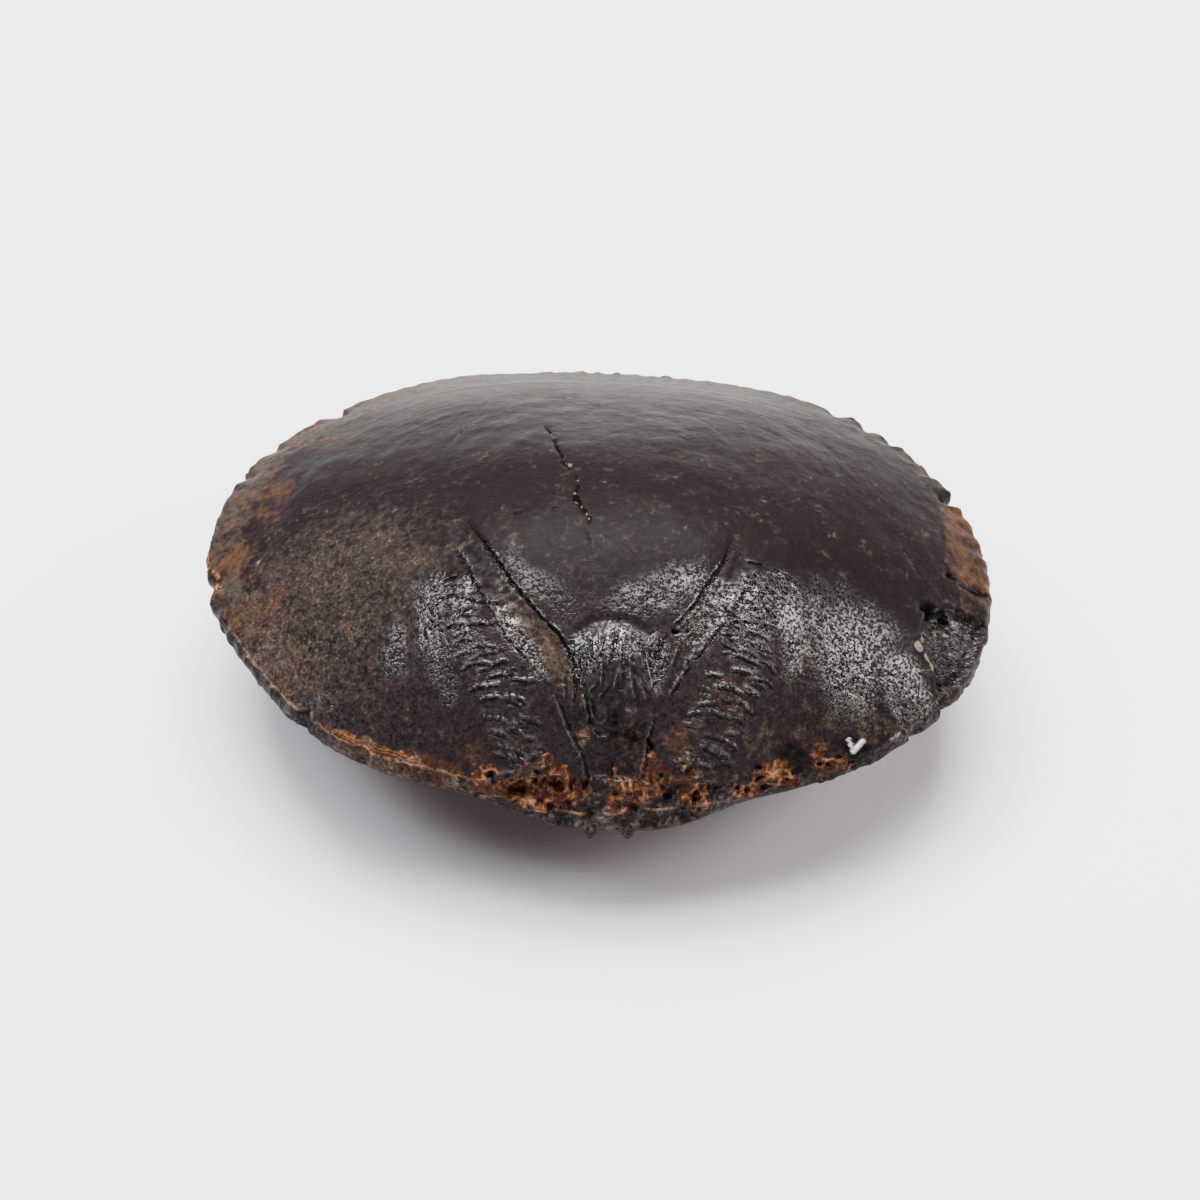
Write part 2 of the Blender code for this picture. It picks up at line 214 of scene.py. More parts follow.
def chipDepth(angle):
    total = np.zeros(angle.shape)
    for degrees, width, depth in shell["chips"]:
        turn = (angle - np.radians(degrees) + np.pi) % (2.0 * np.pi) - np.pi
        along = turn * rimRadius(angle) / width
        bite = np.where(along < 0.0, 1.0 + along / 0.6, 1.0 - along / 1.8)
        total += depth * smoothStep(bite)
    return total


def hingeShare(x, share, angle):
    along = smoothStep((1.0 - np.abs(x - shell["midline"]) / shell["hingeHalfWidth"]) / 0.7)
    return along * smoothStep(-1.6 * np.sin(angle)) * smoothStep((share - 0.7) / 0.3)


def ribShare(angle):  # the ribs are worn off the beak and the middle of the far edge
    farEdge = smoothStep(2.2 - 2.0 * np.abs(angle - 1.5))
    behind = smoothStep(-2.0 * np.sin(angle))
    beak = smoothStep(-3.0 * np.sin(angle) - 1.6)
    return 1.0 - 0.5 * farEdge - 0.65 * behind - 0.35 * beak


def ribWave(angle):  # uneven, as worn ribs are
    wave = np.cos(shell["ribCount"] * angle + 0.9 * np.sin(9.0 * angle) + 0.6 * np.sin(23.0 * angle))
    return wave * (0.7 + 0.5 * np.sin(5.0 * angle + 1.0) * np.sin(11.0 * angle))


def planOf(u, v):  # the square from -1 to 1 laid on the plan
    across = u * np.sqrt(1.0 - v * v / 2.0)
    along = v * np.sqrt(1.0 - u * u / 2.0)
    share = np.hypot(across, along)
    angle = np.arctan2(along, across)
    reach = shell["ribReach"] / 2.0
    ribs = shell["ribHeight"] * ribWave(angle) * ribShare(angle)
    nearEdge = smoothStep((share - 1.0 + reach) / reach)
    radius = rimRadius(angle) + nearEdge * (ribs - chipDepth(angle))
    return share * radius * np.cos(angle), share * radius * np.sin(angle), share, angle


def plainPoints(u, v, w):  # w is 1 on the upper valve, -1 on the lower, and between on the margin
    x, y, share, angle = planOf(u, v)
    hinge = hingeShare(x, share, angle)
    dome = np.maximum(1.0 - share**2, 0.0)
    upper = shell["edgeHalf"] + shell["hingeRise"] * hinge
    lower = -shell["edgeHalf"] - shell["hingeDrop"] * hinge
    top = upper + shell["upperHeight"] * dome * np.exp(-shell["upperLean"] * y / shell["halfLength"])
    deep = dome ** shell["lowerFullness"] * np.exp(-shell["lowerLean"] * y / shell["halfLength"])
    bottom = lower - shell["lowerDepth"] * deep
    z = np.where(w >= 1.0, top, np.where(w <= -1.0, bottom, lower + (upper - lower) * (w + 1.0) / 2.0))
    out = shell["edgeBulge"] * np.maximum(1.0 - w * w, 0.0)
    leanBack = hinge * (shell["beakReach"] - (shell["beakReach"] + shell["hingeSetback"]) * (w + 1.0) / 2.0)
    return x + out * np.cos(angle), y + out * np.sin(angle) - leanBack, z


# What stands out of the upper valve and is cut into it.
relief = dict(
    slots=(  # from the crest towards the hinge
        ((-6.4, -1.6), (-5.7, -2.7), (-4.9, -4.2), (-3.8, -6.1), (-2.5, -7.75), (-1.8, -8.4),
        (-1.0, -9.6), (-0.6, -10.7)),
        ((6.1, -3.5), (5.9, -4.0), (5.6, -5.0), (5.0, -6.0), (4.3, -7.1), (3.8, -7.7), (3.35, -8.25)),
    ),
    slotHalfWidth=0.065, slotDepth=0.07, slotStrengths=(1.0, 0.75),
    lipOffset=0.12, lipHalfWidth=0.05,
    lowerSlot=((3.1, -8.4), (2.8, -8.9), (2.4, -9.9)),
    bandEdges=(
        ((-6.6, -3.0), (-6.5, -3.6), (-6.1, -4.4), (-5.6, -5.5), (-4.9, -6.9), (-4.0, -8.3),
        (-2.9, -9.5), (-2.0, -10.3)),
        ((6.9, -5.2), (6.3, -6.6), (5.8, -7.5), (4.8, -8.7), (4.1, -9.5), (3.6, -10.1), (3.1, -10.7)),
    ),
    edgeHalfWidth=0.05, edgeLipOffset=0.13, edgeLipHalfWidth=0.07,
    bandSink=0.08, bandStrengths=(1.0, 0.45),
    knob=(0.5, -9.5), knobRadii=(1.9, 1.6), knobHeight=0.62,
    knobHollow=((-1.2, -8.6), (-0.3, -8.1), (0.7, -8.0), (1.7, -8.2), (2.5, -8.7)),
    archCentre=(1.06, -10.65), archSpacing=0.34, archHalfWidth=0.055,
    # Ridges that run down from the knob and beside the left slot. The last number is the strength.
    strokes=(
        ((0.72, -8.35), (0.6, -9.1), (0.35, -9.75), 1.0), ((0.1, -8.7), (-0.05, -9.5), 0.7),
        ((-0.4, -8.8), (-0.55, -9.6), 0.7),
        ((-0.95, -9.3), (-0.9, -10.0), 0.8), ((-1.3, -9.6), (-1.1, -10.3), (-1.15, -10.8), 0.9),
        ((-0.85, -9.9), (-0.6, -10.8), (-0.45, -11.2), 0.9), ((-0.4, -10.6), (-0.25, -11.2), 0.8),
        ((-1.6, -9.9), (-1.45, -10.6), 0.7), ((1.6, -8.8), (1.9, -9.3), (1.95, -9.8), 0.6),
        ((2.1, -9.1), (2.2, -9.8), (2.5, -10.5), 0.7), ((0.0, -10.1), (-0.5, -10.5), 0.6),
        ((0.4, -10.3), (0.0, -10.6), 0.6),
        ((1.05, -8.8), (0.95, -9.6), (1.0, -10.2), 0.7), ((1.4, -9.2), (1.4, -10.0), (1.55, -10.5), 0.6),
        ((0.9, -9.7), (0.65, -10.4), 0.6), ((0.2, -9.6), (0.1, -10.3), 0.6),
        ((1.8, -10.0), (2.1, -10.7), 0.5), ((1.4, -10.1), (1.6, -10.7), 0.5),
        ((3.0, -9.1), (2.7, -9.8), 0.9), ((3.5, -8.9), (3.2, -9.7), 0.7), ((4.3, -8.9), (3.7, -9.6), 0.9),
        ((-0.35, -11.4), (0.0, -11.62), (0.5, -11.6), 0.6),
    ),
    troughWalls=(
        ((-2.0, -10.35), (-1.65, -10.85), (-1.4, -11.25), (-1.1, -11.6), (-0.75, -12.0), (-0.6, -12.4),
        (-0.25, -12.9)),
        ((2.45, -11.1), (2.1, -11.7), (1.95, -12.4), (1.6, -12.9)),
    ),
    troughDepth=0.26, septum=((0.62, -12.2), (0.6, -13.1)),
    pads=((0.1, -11.1), (1.35, -11.15)), padRadii=(0.6, 0.4), padHeight=0.34,
    hollows=(
        ((1.0, -11.5), (1.5, -11.68), (2.0, -11.6)), ((0.75, -10.95), (0.75, -11.4)),
        ((-0.35, -11.1), (-0.3, -11.35)),
    ),
    pits=(  # x, y, radius, depth
        (-0.65, -11.6, 0.2, 0.15), (2.2, -11.7, 0.22, 0.3), (0.75, -11.5, 0.2, 0.15),
        (3.35, -8.3, 0.22, 0.3), (15.1, -3.9, 0.62, 0.7), (15.9, -3.6, 0.4, 0.4), (16.0, -1.3, 0.2, 0.2),
    ),
    leftFlankHollow=((-8.2, -4.6), (-8.7, -6.2), (-8.5, -8.2), (-7.6, -9.6)),
    ledges=(0.62, 0.66, 0.68, 0.71, 0.74, 0.765, 0.79, 0.835, 0.875, 0.91),  # shares of the way out
    ledgeHeight=0.022, ledgeRise=0.012, ledgeRun=0.03,
)

fields = (  # the swollen flanks of the beak, with rows of short cross ridges
    dict(
        axis=((-6.5, -4.7), (-5.7, -7.2), (-4.6, -9.3), (-3.4, -10.9), (-2.4, -12.3)), seed=5, loose=30,
        ridges=(  # x, y, half length, slope, how far the middle stands up over the ends, strength
            (-6.5, -5.3, 0.525, 0.0, 0.07, 0.6), (-6.5, -5.75, 0.63, 0.05, 0.14, 0.9),
            (-6.5, -6.2, 0.525, 0.0, 0.07, 0.8),
            (-5.7, -6.5, 0.675, -0.2, 0.084, 0.8), (-5.9, -6.9, 0.6, 0.0, 0.112, 0.9),
            (-6.3, -7.4, 0.6, 0.0, 0.084, 0.9),
            (-5.3, -7.5, 0.57, -0.1, 0.168, 1.0), (-5.9, -8.0, 0.57, 0.0, 0.14, 0.9),
            (-4.9, -8.4, 0.675, -0.2, 0.14, 1.0),
            (-5.9, -8.5, 0.57, 0.05, 0.112, 0.8), (-5.3, -8.95, 0.9, -0.05, 0.196, 1.0),
            (-4.3, -9.1, 0.525, 0.1, 0.112, 0.8),
            (-4.4, -9.5, 0.57, 0.0, 0.112, 0.8), (-3.4, -9.8, 0.525, -0.2, 0.084, 0.8),
            (-5.0, -9.7, 0.825, -0.1, 0.196, 0.9),
            (-4.7, -10.15, 0.675, -0.1, 0.112, 0.8), (-3.6, -10.3, 0.675, -0.2, 0.084, 0.8),
        ),
        lowX=(-4.7, -3.0), lowStart=-10.6, lowRows=5, lowTilt=-0.25,
        rim=((-6.95, -4.7), (-7.2, -5.3), (-7.5, -5.8), (-7.65, -6.5), (-7.55, -7.3), (-7.3, -8.2),
        (-6.9, -8.8)), rimRows=3,
    ),
    dict(
        axis=((7.6, -4.6), (7.2, -7.0), (6.3, -9.3), (5.3, -11.0), (4.2, -12.3)), seed=9, loose=30,
        ridges=(
            (7.0, -4.6, 0.45, 0.0, 0.056, 0.5), (7.7, -5.1, 0.195, 0.0, 0.0, 1.0),
            (6.8, -5.4, 0.3, 0.5, 0.0, 1.0),
            (7.5, -5.9, 0.525, -0.3, 0.168, 1.0), (6.5, -6.1, 0.24, 0.4, 0.0, 0.9),
            (8.2, -6.4, 0.195, 0.0, 0.0, 0.9),
            (6.9, -6.9, 0.375, 0.2, 0.0, 0.7), (7.5, -6.9, 0.42, -0.8, 0.0, 1.0),
            (5.7, -7.65, 0.21, 0.0, 0.0, 1.0),
            (6.3, -7.5, 0.63, 0.12, 0.07, 0.9), (7.4, -7.45, 0.6, -0.1, 0.042, 0.8),
            (6.6, -7.85, 1.125, -0.14, 0.056, 1.0),
            (7.0, -8.35, 0.675, -0.14, 0.042, 1.0), (5.9, -8.3, 0.3, 0.0, 0.0, 0.7),
            (6.4, -8.85, 0.825, -0.1, 0.224, 1.0),
            (6.3, -9.35, 0.675, 0.0, 0.07, 0.9), (5.8, -9.95, 0.9, -0.1, 0.14, 0.9),
            (5.1, -9.6, 0.45, 0.0, 0.084, 0.7),
            (7.3, -8.9, 0.45, -0.1, 0.042, 0.7), (6.9, -9.5, 0.45, 0.0, 0.056, 0.6),
            (5.75, -7.1, 0.3, -0.9, 0.0, 1.0),
        ),
        lowX=(4.6, 6.2), lowStart=-10.4, lowRows=6, lowTilt=0.0,
        rim=((8.5, -5.4), (8.9, -6.6), (8.9, -7.9), (8.5, -9.2)), rimRows=2,
    ),
)


crossRidge = dict(halfWidth=0.04, extraHalfWidth=0.025, grooveOffset=0.13, grooveHalfWidth=0.075)


def slotRelief(x, y, plain, ridges, grooves):  # returns the relief, and the brown bands beside the slots
    total = np.zeros(x.shape)
    bands = np.zeros(x.shape)
    chatter = cloud(plain, 0.3, 25, 2)
    beads = smoothStep(0.9 + 1.4 * cloud(plain, 0.28, 37))
    bothSides = zip(relief["slots"], relief["bandEdges"], relief["slotStrengths"], relief["bandStrengths"])
    for slot, edge, strength, bandStrength in bothSides:
        distance, side, along = nearestOnPath(x + 0.05 * chatter, y, slot)
        offset = distance * side * np.sign(shell["midline"] - slot[0][0])
        ends = fadeEnds(along, 0.3, 0.08)
        total -= relief["slotDepth"] * ends * (1.0 + 0.4 * chatter) * smoothStep(1.0 - distance / 0.2)
        grooves.draw(offset, relief["slotHalfWidth"], strength * ends)
        lipEnds = smoothStep((along - 0.25) / 0.1) * smoothStep((1.0 - along) / 0.1)
        ridges.draw(offset - relief["lipOffset"], relief["lipHalfWidth"], strength * lipEnds * beads)

        distance, side, along = nearestOnPath(x + 0.06 * chatter, y, edge)
        offset = distance * side * np.sign(shell["midline"] - edge[0][0])
        lumps = smoothStep(0.4 + 1.8 * cloud(plain, 0.45, 38))
        lumps *= smoothStep((along - 0.05) / 0.2) * smoothStep((1.0 - along) / 0.1)
        grooves.draw(offset, relief["edgeHalfWidth"], 0.9 * (1.0 - 0.6 * lumps) * fadeEnds(along, 0.2, 0.1))
        ridges.draw(offset - relief["edgeLipOffset"], relief["edgeLipHalfWidth"], 0.8 * lumps)

        band = smoothStep(inside(x + 0.1 * chatter, y, slot + edge[::-1]) / 0.8 + 0.35)
        total += band * (-relief["bandSink"] + 0.06 * cloud(plain, 0.26, 26, 2))
        bands = np.maximum(bands, band * bandStrength)
    grooves.drawPath(x, y, relief["lowerSlot"], 0.07, 0.9)
    return total, bands


# the groove on the hinge side is also painted black, as the ridge's painted shadow
def drawRidge(x, y, ridge, ridges, grooves):  # a short cross ridge with its own groove on the hinge side
    ridgeX, ridgeY, halfLength, slope, bow, strength = ridge
    path = [
        (ridgeX + t * halfLength, ridgeY + slope * t * halfLength - bow * t * t)
        for t in (-1.0, -0.4, 0.4, 1.0)
    ]
    halfWidth = crossRidge["halfWidth"] + crossRidge["extraHalfWidth"] * strength
    ridges.drawPath(x, y, path, halfWidth, strength, 0.25)
    below = [(pathX, pathY - crossRidge["grooveOffset"]) for pathX, pathY in path]
    grooves.drawPath(x, y, below, crossRidge["grooveHalfWidth"], 0.5 + 0.4 * strength, 0.3)


def lowRidges(field, dice):  # rows of weak ridges at the field's end near the hinge
    left, right = field["lowX"]
    made = []
    for row in range(field["lowRows"]):
        for place in (0.0, 0.5, 1.0):
            across = place * (right - left)
            ridgeX = left + across - 0.22 * row * np.sign(left) + dice.uniform(-0.2, 0.2)
            ridgeY = field["lowStart"] - 0.42 * row + field["lowTilt"] * across + dice.uniform(-0.12, 0.12)
            halfLength = dice.uniform(0.375, 0.75)
            bow = dice.uniform(0.0, 0.112)
            strength = dice.uniform(0.2, 0.5)
            slope = field["lowTilt"] * 0.6 + dice.uniform(-0.15, 0.15)
            made.append((ridgeX, ridgeY, halfLength, slope, bow, strength))
    return made


def looseRidges(field, dice):  # faint ridges scattered along the field's axis
    axisX, axisY = np.transpose(field["axis"])
    made = []
    for _ in range(field["loose"]):
        ridgeY = dice.uniform(-12.4, -4.9)
        ridgeX = np.interp(-ridgeY, -axisY, axisX) + dice.uniform(-1.3, 1.3)
        halfLength = dice.uniform(0.27, 0.6)
        slope = dice.uniform(-0.45, 0.25)
        bow = dice.uniform(0.0, 0.112)
        made.append((ridgeX, ridgeY, halfLength, slope, bow, dice.uniform(0.3, 0.65)))
    return made


def fieldRelief(x, y, plain, ridges, grooves):
    total = np.zeros(x.shape)
    warpedX = x + 0.07 * cloud(plain, 0.7, 27)
    warpedY = y + 0.07 * cloud(plain, 0.6, 28)
    for field in fields:
        distance, _, along = nearestOnPath(x, y, field["axis"])
        total += 0.35 * smoothStep(1.0 - distance / 2.4) * smoothStep(along / 0.2)
        dice = np.random.default_rng(field["seed"])
        for ridge in list(field["ridges"]) + lowRidges(field, dice) + looseRidges(field, dice):
            drawRidge(warpedX, warpedY, ridge, ridges, grooves)
        distance, side, along = nearestOnPath(warpedX, warpedY, field["rim"])
        for row in range(field["rimRows"]):
            shown = smoothStep(0.5 + 2.0 * cloud(plain, 0.42, 29 + row))
            ridges.draw(distance * side + 0.3 * (row - 1), 0.06, 0.9 * fadeEnds(along, 0.15, 0.15) * shown)
    return total


def knobRelief(x, y, plain, ridges, grooves):
    total = relief["knobHeight"] * mound(x, y, relief["knob"], relief["knobRadii"])
    near = smoothStep(1.5 * mound(x, y, relief["knob"], (2.4, 1.9)))
    total += 0.08 * near * (wrinkles(plain, 0.22, 0.6, 22, 0.1) - 0.4)
    below = smoothStep(1.5 * mound(x, y, (0.6, -11.6), (3.2, 2.0)))
    total += 0.05 * below * (wrinkles(plain, 0.26, 0.7, 25, 0.1) - 0.4)
    reach = np.hypot(x - relief["archCentre"][0], y - relief["archCentre"][1]) + 0.1 * cloud(plain, 0.5, 21)
    window = smoothStep((y + 10.7) / 0.3) * smoothStep((1.9 - reach) / 0.4) * smoothStep((x - 0.45) / 0.3)
    spacing = relief["archSpacing"]
    arches = ((reach / spacing) % 1.0 - 0.5) * spacing
    window *= smoothStep(0.6 + 1.5 * cloud(plain, 0.35, 24))
    ridges.draw(arches, relief["archHalfWidth"], 0.3 * window)
    for *path, strength in relief["strokes"]:
        ridges.drawPath(x, y, path, 0.06, strength)
        grooves.drawPath(x, y, [(pathX + 0.14, pathY) for pathX, pathY in path], 0.08, 0.8 * strength)
    for wall in relief["troughWalls"]:
        ridges.drawPath(x, y, wall, 0.05, 0.5, 0.08)
        grooves.drawPath(x, y, [(pathX + 0.12, pathY) for pathX, pathY in wall], 0.06, 0.7, 0.08)
        total += 0.1 * stroke(x, y, wall, 0.25)
    leftWall, rightWall = relief["troughWalls"]
    trough = inside(x, y, leftWall + rightWall[::-1])
    total -= relief["troughDepth"] * smoothStep(trough / 0.4) * smoothStep((-y - 10.6) / 0.5)
    grooves.drawPath(x, y, relief["septum"], 0.06, 0.8)
    ridges.drawPath(x, y, [(pathX + 0.13, pathY) for pathX, pathY in relief["septum"]], 0.05, 0.5)
    for hollow in relief["hollows"]:
        grooves.drawPath(x, y, hollow, 0.13, 0.7)
    total -= 0.1 * stroke(x, y, relief["knobHollow"], 0.35)
    for pad in relief["pads"]:
        total += relief["padHeight"] * smoothStep(1.5 * mound(x, y, pad, relief["padRadii"]))
    return total


def pitRelief(x, y, plain):
    total = np.zeros(x.shape)
    x = x + 0.16 * cloud(plain, 0.35, 35)
    y = y + 0.16 * cloud(plain, 0.35, 36)
    for pitX, pitY, radius, depth in relief["pits"]:
        total -= depth * smoothStep(1.4 * mound(x, y, (pitX, pitY), (radius * 1.3, radius)))
    return total


# Where the stone is broken, cracked or scratched, and what sticks to it.
damage = dict(
    breakOutline=(
        (15.2, -3.5), (14.6, -4.4), (14.4, -5.8), (14.9, -6.6), (15.3, -7.4), (18.3, -6.0), (18.6, -2.9),
        (16.2, -2.9),
    ),
    breakDepth=0.35, layersPerMm=3.2,
    fracture=((15.7, -0.6), (16.1, -1.2), (16.6, -1.6), (17.2, -1.5), (17.8, -1.2), (18.4, -1.2)),
    facet=(  # the orange plane on the right margin
        (15.6, 4.0), (16.9, 4.6), (18.2, 3.0), (18.8, 0.5), (18.4, -1.1), (17.2, -1.4), (16.2, -1.3),
        (15.7, -0.4), (15.8, 1.3),
    ),
    crack=(
        (-2.4, 5.1), (-2.1, 4.0), (-1.9, 2.9), (-1.6, 1.7), (-1.65, 1.2), (-1.0, 0.3), (-0.9, -0.7),
        (-1.0, -1.8), (-0.7, -2.3), (-0.4, -2.9), (-0.45, -3.6), (-0.2, -5.6),
    ),
    crackBranch=((-1.1, -2.0), (-2.3, -2.4), (-3.8, -2.4)),
    grains=(  # x, y, radius
        (-1.25, 0.9, 0.11), (-1.4, 1.1, 0.08), (-0.92, -0.3, 0.1), (-0.98, -0.75, 0.07),
        (-1.05, -1.4, 0.07), (-0.95, -1.95, 0.12), (-0.72, -2.25, 0.09), (-0.5, -2.75, 0.1),
        (-0.4, -3.0, 0.08), (14.35, -6.0, 0.3), (14.75, -6.3, 0.22), (15.0, -6.6, 0.2),
        (14.6, -5.5, 0.2), (15.4, -4.7, 0.2), (15.9, -4.5, 0.16), (16.9, -4.9, 0.1),
        (14.9, -7.6, 0.16), (15.2, -7.8, 0.14), (16.5, -7.0, 0.1), (-14.5, 1.2, 0.1),
        (-13.9, 0.3, 0.09), (-13.6, 0.5, 0.08), (-15.4, -0.6, 0.08), (-11.9, -8.8, 0.07),
    ),
    scratches=(
        ((-7.3, 3.3), (-5.0, 7.7)), ((4.1, 7.4), (6.4, 3.9)), ((13.4, -0.3), (14.1, -1.4), (14.8, -2.9)),
    ),
    # a small shard whose near-white colour is a painted glint
    shard=((11.1, -10.5), (11.35, -10.85), (11.85, -10.35)), shardHalfWidth=0.11,
)


def breakRelief(x, y, plain, ridges, grooves):
    depth = smoothStep(inside(x, y, damage["breakOutline"]) / 0.25)
    perMm = damage["layersPerMm"]
    layers = (perMm * (y + 0.35 * x) + 1.1 * cloud(plain, 1.1, 31)) % 1.0
    crumbs = cloud(plain, 0.5, 32, 2)
    ridges.draw((layers - 0.5) / perMm, 0.05, 0.7 * depth * smoothStep(0.5 + 1.5 * crumbs))
    grooves.draw((layers - 0.25) / perMm, 0.07, 0.8 * depth * smoothStep(0.7 - crumbs))
    return depth * (-damage["breakDepth"] + 0.1 * np.sin(2.0 * np.pi * layers) + 0.16 * crumbs)


def crackRelief(x, y, plain, ridges, grooves):
    wanderX = x + 0.08 * cloud(plain, 0.4, 42)
    beads = smoothStep(1.0 + 1.5 * cloud(plain, 0.35, 41))
    fading = smoothStep((y + 5.7) / 4.0) * 0.6 + 0.4 * smoothStep((y + 3.2) / 0.3)
    grooves.drawPath(wanderX, y, damage["crack"], 0.07, 0.9 * beads * fading, 0.02)
    dotted = smoothStep(3.0 * cloud(plain, 0.5, 43) - 0.3)
    grooves.drawPath(wanderX, y, damage["crackBranch"], 0.06, 0.8 * beads * dotted, 0.02)
    grooves.drawPath(wanderX, y, damage["fracture"], 0.1, 0.9, 0.2)
    total = -0.08 * stroke(wanderX, y, damage["crack"], 0.16, 0.02) * beads * fading
    for grainX, grainY, radius in damage["grains"]:
        total += 0.4 * radius * mound(x, y, (grainX, grainY), (radius, 1.5 * radius))
    for scratch in damage["scratches"]:
        ridges.drawPath(wanderX, y, scratch, 0.04, 0.16, 0.3)
        total -= 0.02 * stroke(x, y, scratch, 0.16, 0.3, 0.3)
    ridges.drawPath(x, y, damage["shard"], 0.07, 0.8, 0.05)
    return total


def ribRelief(share, angle):
    fade = smoothStep((share - 1.0 + shell["ribReach"]) / shell["ribReach"])
    return 0.2 * shell["ribHeight"] * ribWave(angle) * fade * ribShare(angle)


def ledgeRelief(x, y, share, plain):
    front = smoothStep((y + 1.0) / 6.0) * smoothStep(1.4 - np.abs(x) / 12.0)
    wander = share + 0.008 * cloud(plain, 2.5, 51, 2)
    worn = smoothStep(0.6 + 0.9 * cloud(plain / np.array([3.0, 1.0, 1.0]), 0.9, 52, 2))
    total = np.zeros(share.shape)
    for place in relief["ledges"]:
        past = wander - place
        step = smoothStep(past / relief["ledgeRise"]) * smoothStep(1.0 - past / relief["ledgeRun"])
        total -= relief["ledgeHeight"] * step
    return total * front * worn


# Where the rust, the stains and the polish lie.
patches = dict(
    crust=(  # direction and half width in degrees, reach in from the margin, lowest level, strength
        (269.0, 21.0, 0.05, -0.35, 1.0), (262.0, 2.0, 0.4, -0.35, 1.0), (281.0, 3.0, 0.4, -0.35, 1.0),
        (250.0, 5.0, 0.0, -0.1, 0.7), (232.0, 5.0, 0.06, 0.5, 0.6), (300.5, 5.5, 0.3, -0.3, 1.0),
        (312.5, 3.0, 0.45, -0.4, 1.0), (178.0, 10.0, 0.06, 0.4, 0.45), (150.0, 12.0, 0.03, 0.5, 0.35),
    ),
    stains=(  # x, y, radii, strength
        (17.2, -1.9, 1.0, 0.9, 0.8), (-16.6, 0.3, 2.0, 2.0, 1.0), (-16.7, -3.2, 1.1, 2.0, 1.0),
        (-14.6, -3.2, 1.9, 2.0, 0.75), (-14.9, 3.6, 2.0, 3.8, 0.8), (-12.4, 7.3, 3.6, 1.8, 0.7),
        (-2.1, -9.1, 0.8, 1.7, 1.0), (-3.1, -7.5, 0.7, 1.7, 0.7), (-0.62, -11.55, 0.3, 0.26, 1.3),
        (-12.0, -6.4, 2.6, 2.4, 0.35), (-10.2, -8.2, 1.2, 0.9, 0.5), (8.9, -8.3, 1.2, 2.4, 0.45),
        (12.4, 8.0, 3.0, 1.6, 0.55), (12.9, 0.7, 0.7, 0.6, 0.6), (6.0, -10.2, 1.6, 1.6, 0.6),
        (-5.0, -11.5, 2.4, 1.2, 0.6), (3.6, -11.6, 1.2, 1.4, 0.7), (-10.5, -1.5, 3.0, 3.0, 0.35),
        (-3.8, 9.6, 8.0, 1.6, 0.3), (9.0, 4.0, 4.0, 3.0, 0.3),
    ),
    polished=(  # x, y, radii, strength
        (11.0, -8.0, 2.9, 3.9, 1.0), (13.7, -8.0, 2.3, 2.5, 1.0), (10.8, -7.0, 5.4, 5.6, 0.6),
        (8.6, -7.8, 1.2, 3.1, 0.8), (-0.6, -9.3, 1.7, 1.7, 1.0), (1.0, -8.9, 2.1, 1.3, 0.9),
        (2.6, -9.4, 1.1, 1.9, 1.0),
        (-9.1, -7.8, 1.2, 1.9, 0.65), (-6.6, -9.6, 1.1, 1.6, 0.6), (7.6, -6.0, 1.4, 2.1, 0.6),
        (-14.9, -5.8, 2.0, 2.3, 0.4), (-12.6, -8.4, 2.8, 1.8, 0.4),
    ),
    polishedPaths=(  # a path, its half width, strength
        (((-4.9, -4.4), (-4.1, -5.3), (-3.2, -6.2), (-2.2, -7.0), (-1.2, -7.6), (0.4, -7.8)), 1.5, 0.4),
        (((-1.2, -7.7), (0.6, -7.6), (1.9, -7.4), (3.1, -6.8), (4.5, -5.9), (5.9, -4.6)), 1.7, 0.52),
        (((-4.8, -6.4), (-3.8, -8.1), (-3.0, -9.0), (-2.3, -9.8), (-1.9, -10.6)), 0.8, 1.0),
        (((6.6, -5.4), (5.2, -7.3), (4.1, -8.4), (3.3, -9.7)), 1.4, 0.75),
        (((-7.2, -4.4), (-7.5, -5.8), (-7.4, -7.4), (-6.9, -8.8), (-6.2, -10.0)), 1.5, 0.9),
        (((-6.2, -5.0), (-6.0, -7.8), (-5.2, -9.4)), 1.4, 0.7),
        (((8.0, -4.2), (8.3, -6.5), (7.7, -8.6)), 1.6, 0.85),
        (((7.0, -4.6), (7.0, -6.5), (6.4, -9.4)), 1.5, 0.8),
    ),
    grit=((-12.5, -4.5, 8.5, 8.5, 1.3), (11.0, -8.5, 6.0, 4.5, 0.455)),  # x, y, radii, strength
    darkCorners=((11.6, -10.9, 1.3, 0.9), (8.7, -11.6, 1.1, 0.7)),  # x, y, radii
    sage=((-16.5, -1.7), (0.9, 1.4)),  # a centre and its radii, as the next two
    # painted fill light: the first centre and radii on the next line lighten the shaded trough under the beak
    paintedBeakFill=((0.6, -12.2), (2.4, 2.2)), beakRust=((-0.6, -11.55), (0.42, 0.36)),
    crustNotch=(0.1, 0.45),  # x and half width of the bare gap in the hinge's rust
)


def spotShare(x, y, spots):
    total = np.zeros(x.shape)
    for spotX, spotY, radiusX, radiusY, strength in spots:
        total = np.maximum(total, strength * smoothStep(mound(x, y, (spotX, spotY), (radiusX, radiusY))))
    return total


def crustShare(share, angle, w, plain):
    inward = (1.0 - share) * rimRadius(angle) + 0.45 * cloud(plain, 0.8, 63, 2)
    height = w + 0.8 * cloud(plain, 1.1, 64, 2)
    total = np.zeros(share.shape)
    for degrees, halfWidth, reach, lowest, strength in patches["crust"]:
        turn = np.degrees((angle - np.radians(degrees) + np.pi) % (2.0 * np.pi) - np.pi)
        along = smoothStep((halfWidth - np.abs(turn)) / 3.0 + 0.5)
        onTop = smoothStep((reach - inward) / 0.25 + 0.5)
        onWall = smoothStep((height - lowest) / 0.3)
        total = np.maximum(total, strength * along * np.where(w > 0.999, onTop, onWall))
    notchX, notchHalf = patches["crustNotch"]
    notch = smoothStep(1.4 - np.abs(plain[:, 0] - notchX) / notchHalf) * smoothStep((w - 0.1) / 0.4)
    return np.where(w < -0.999, 0.0, total * (1.0 - notch))


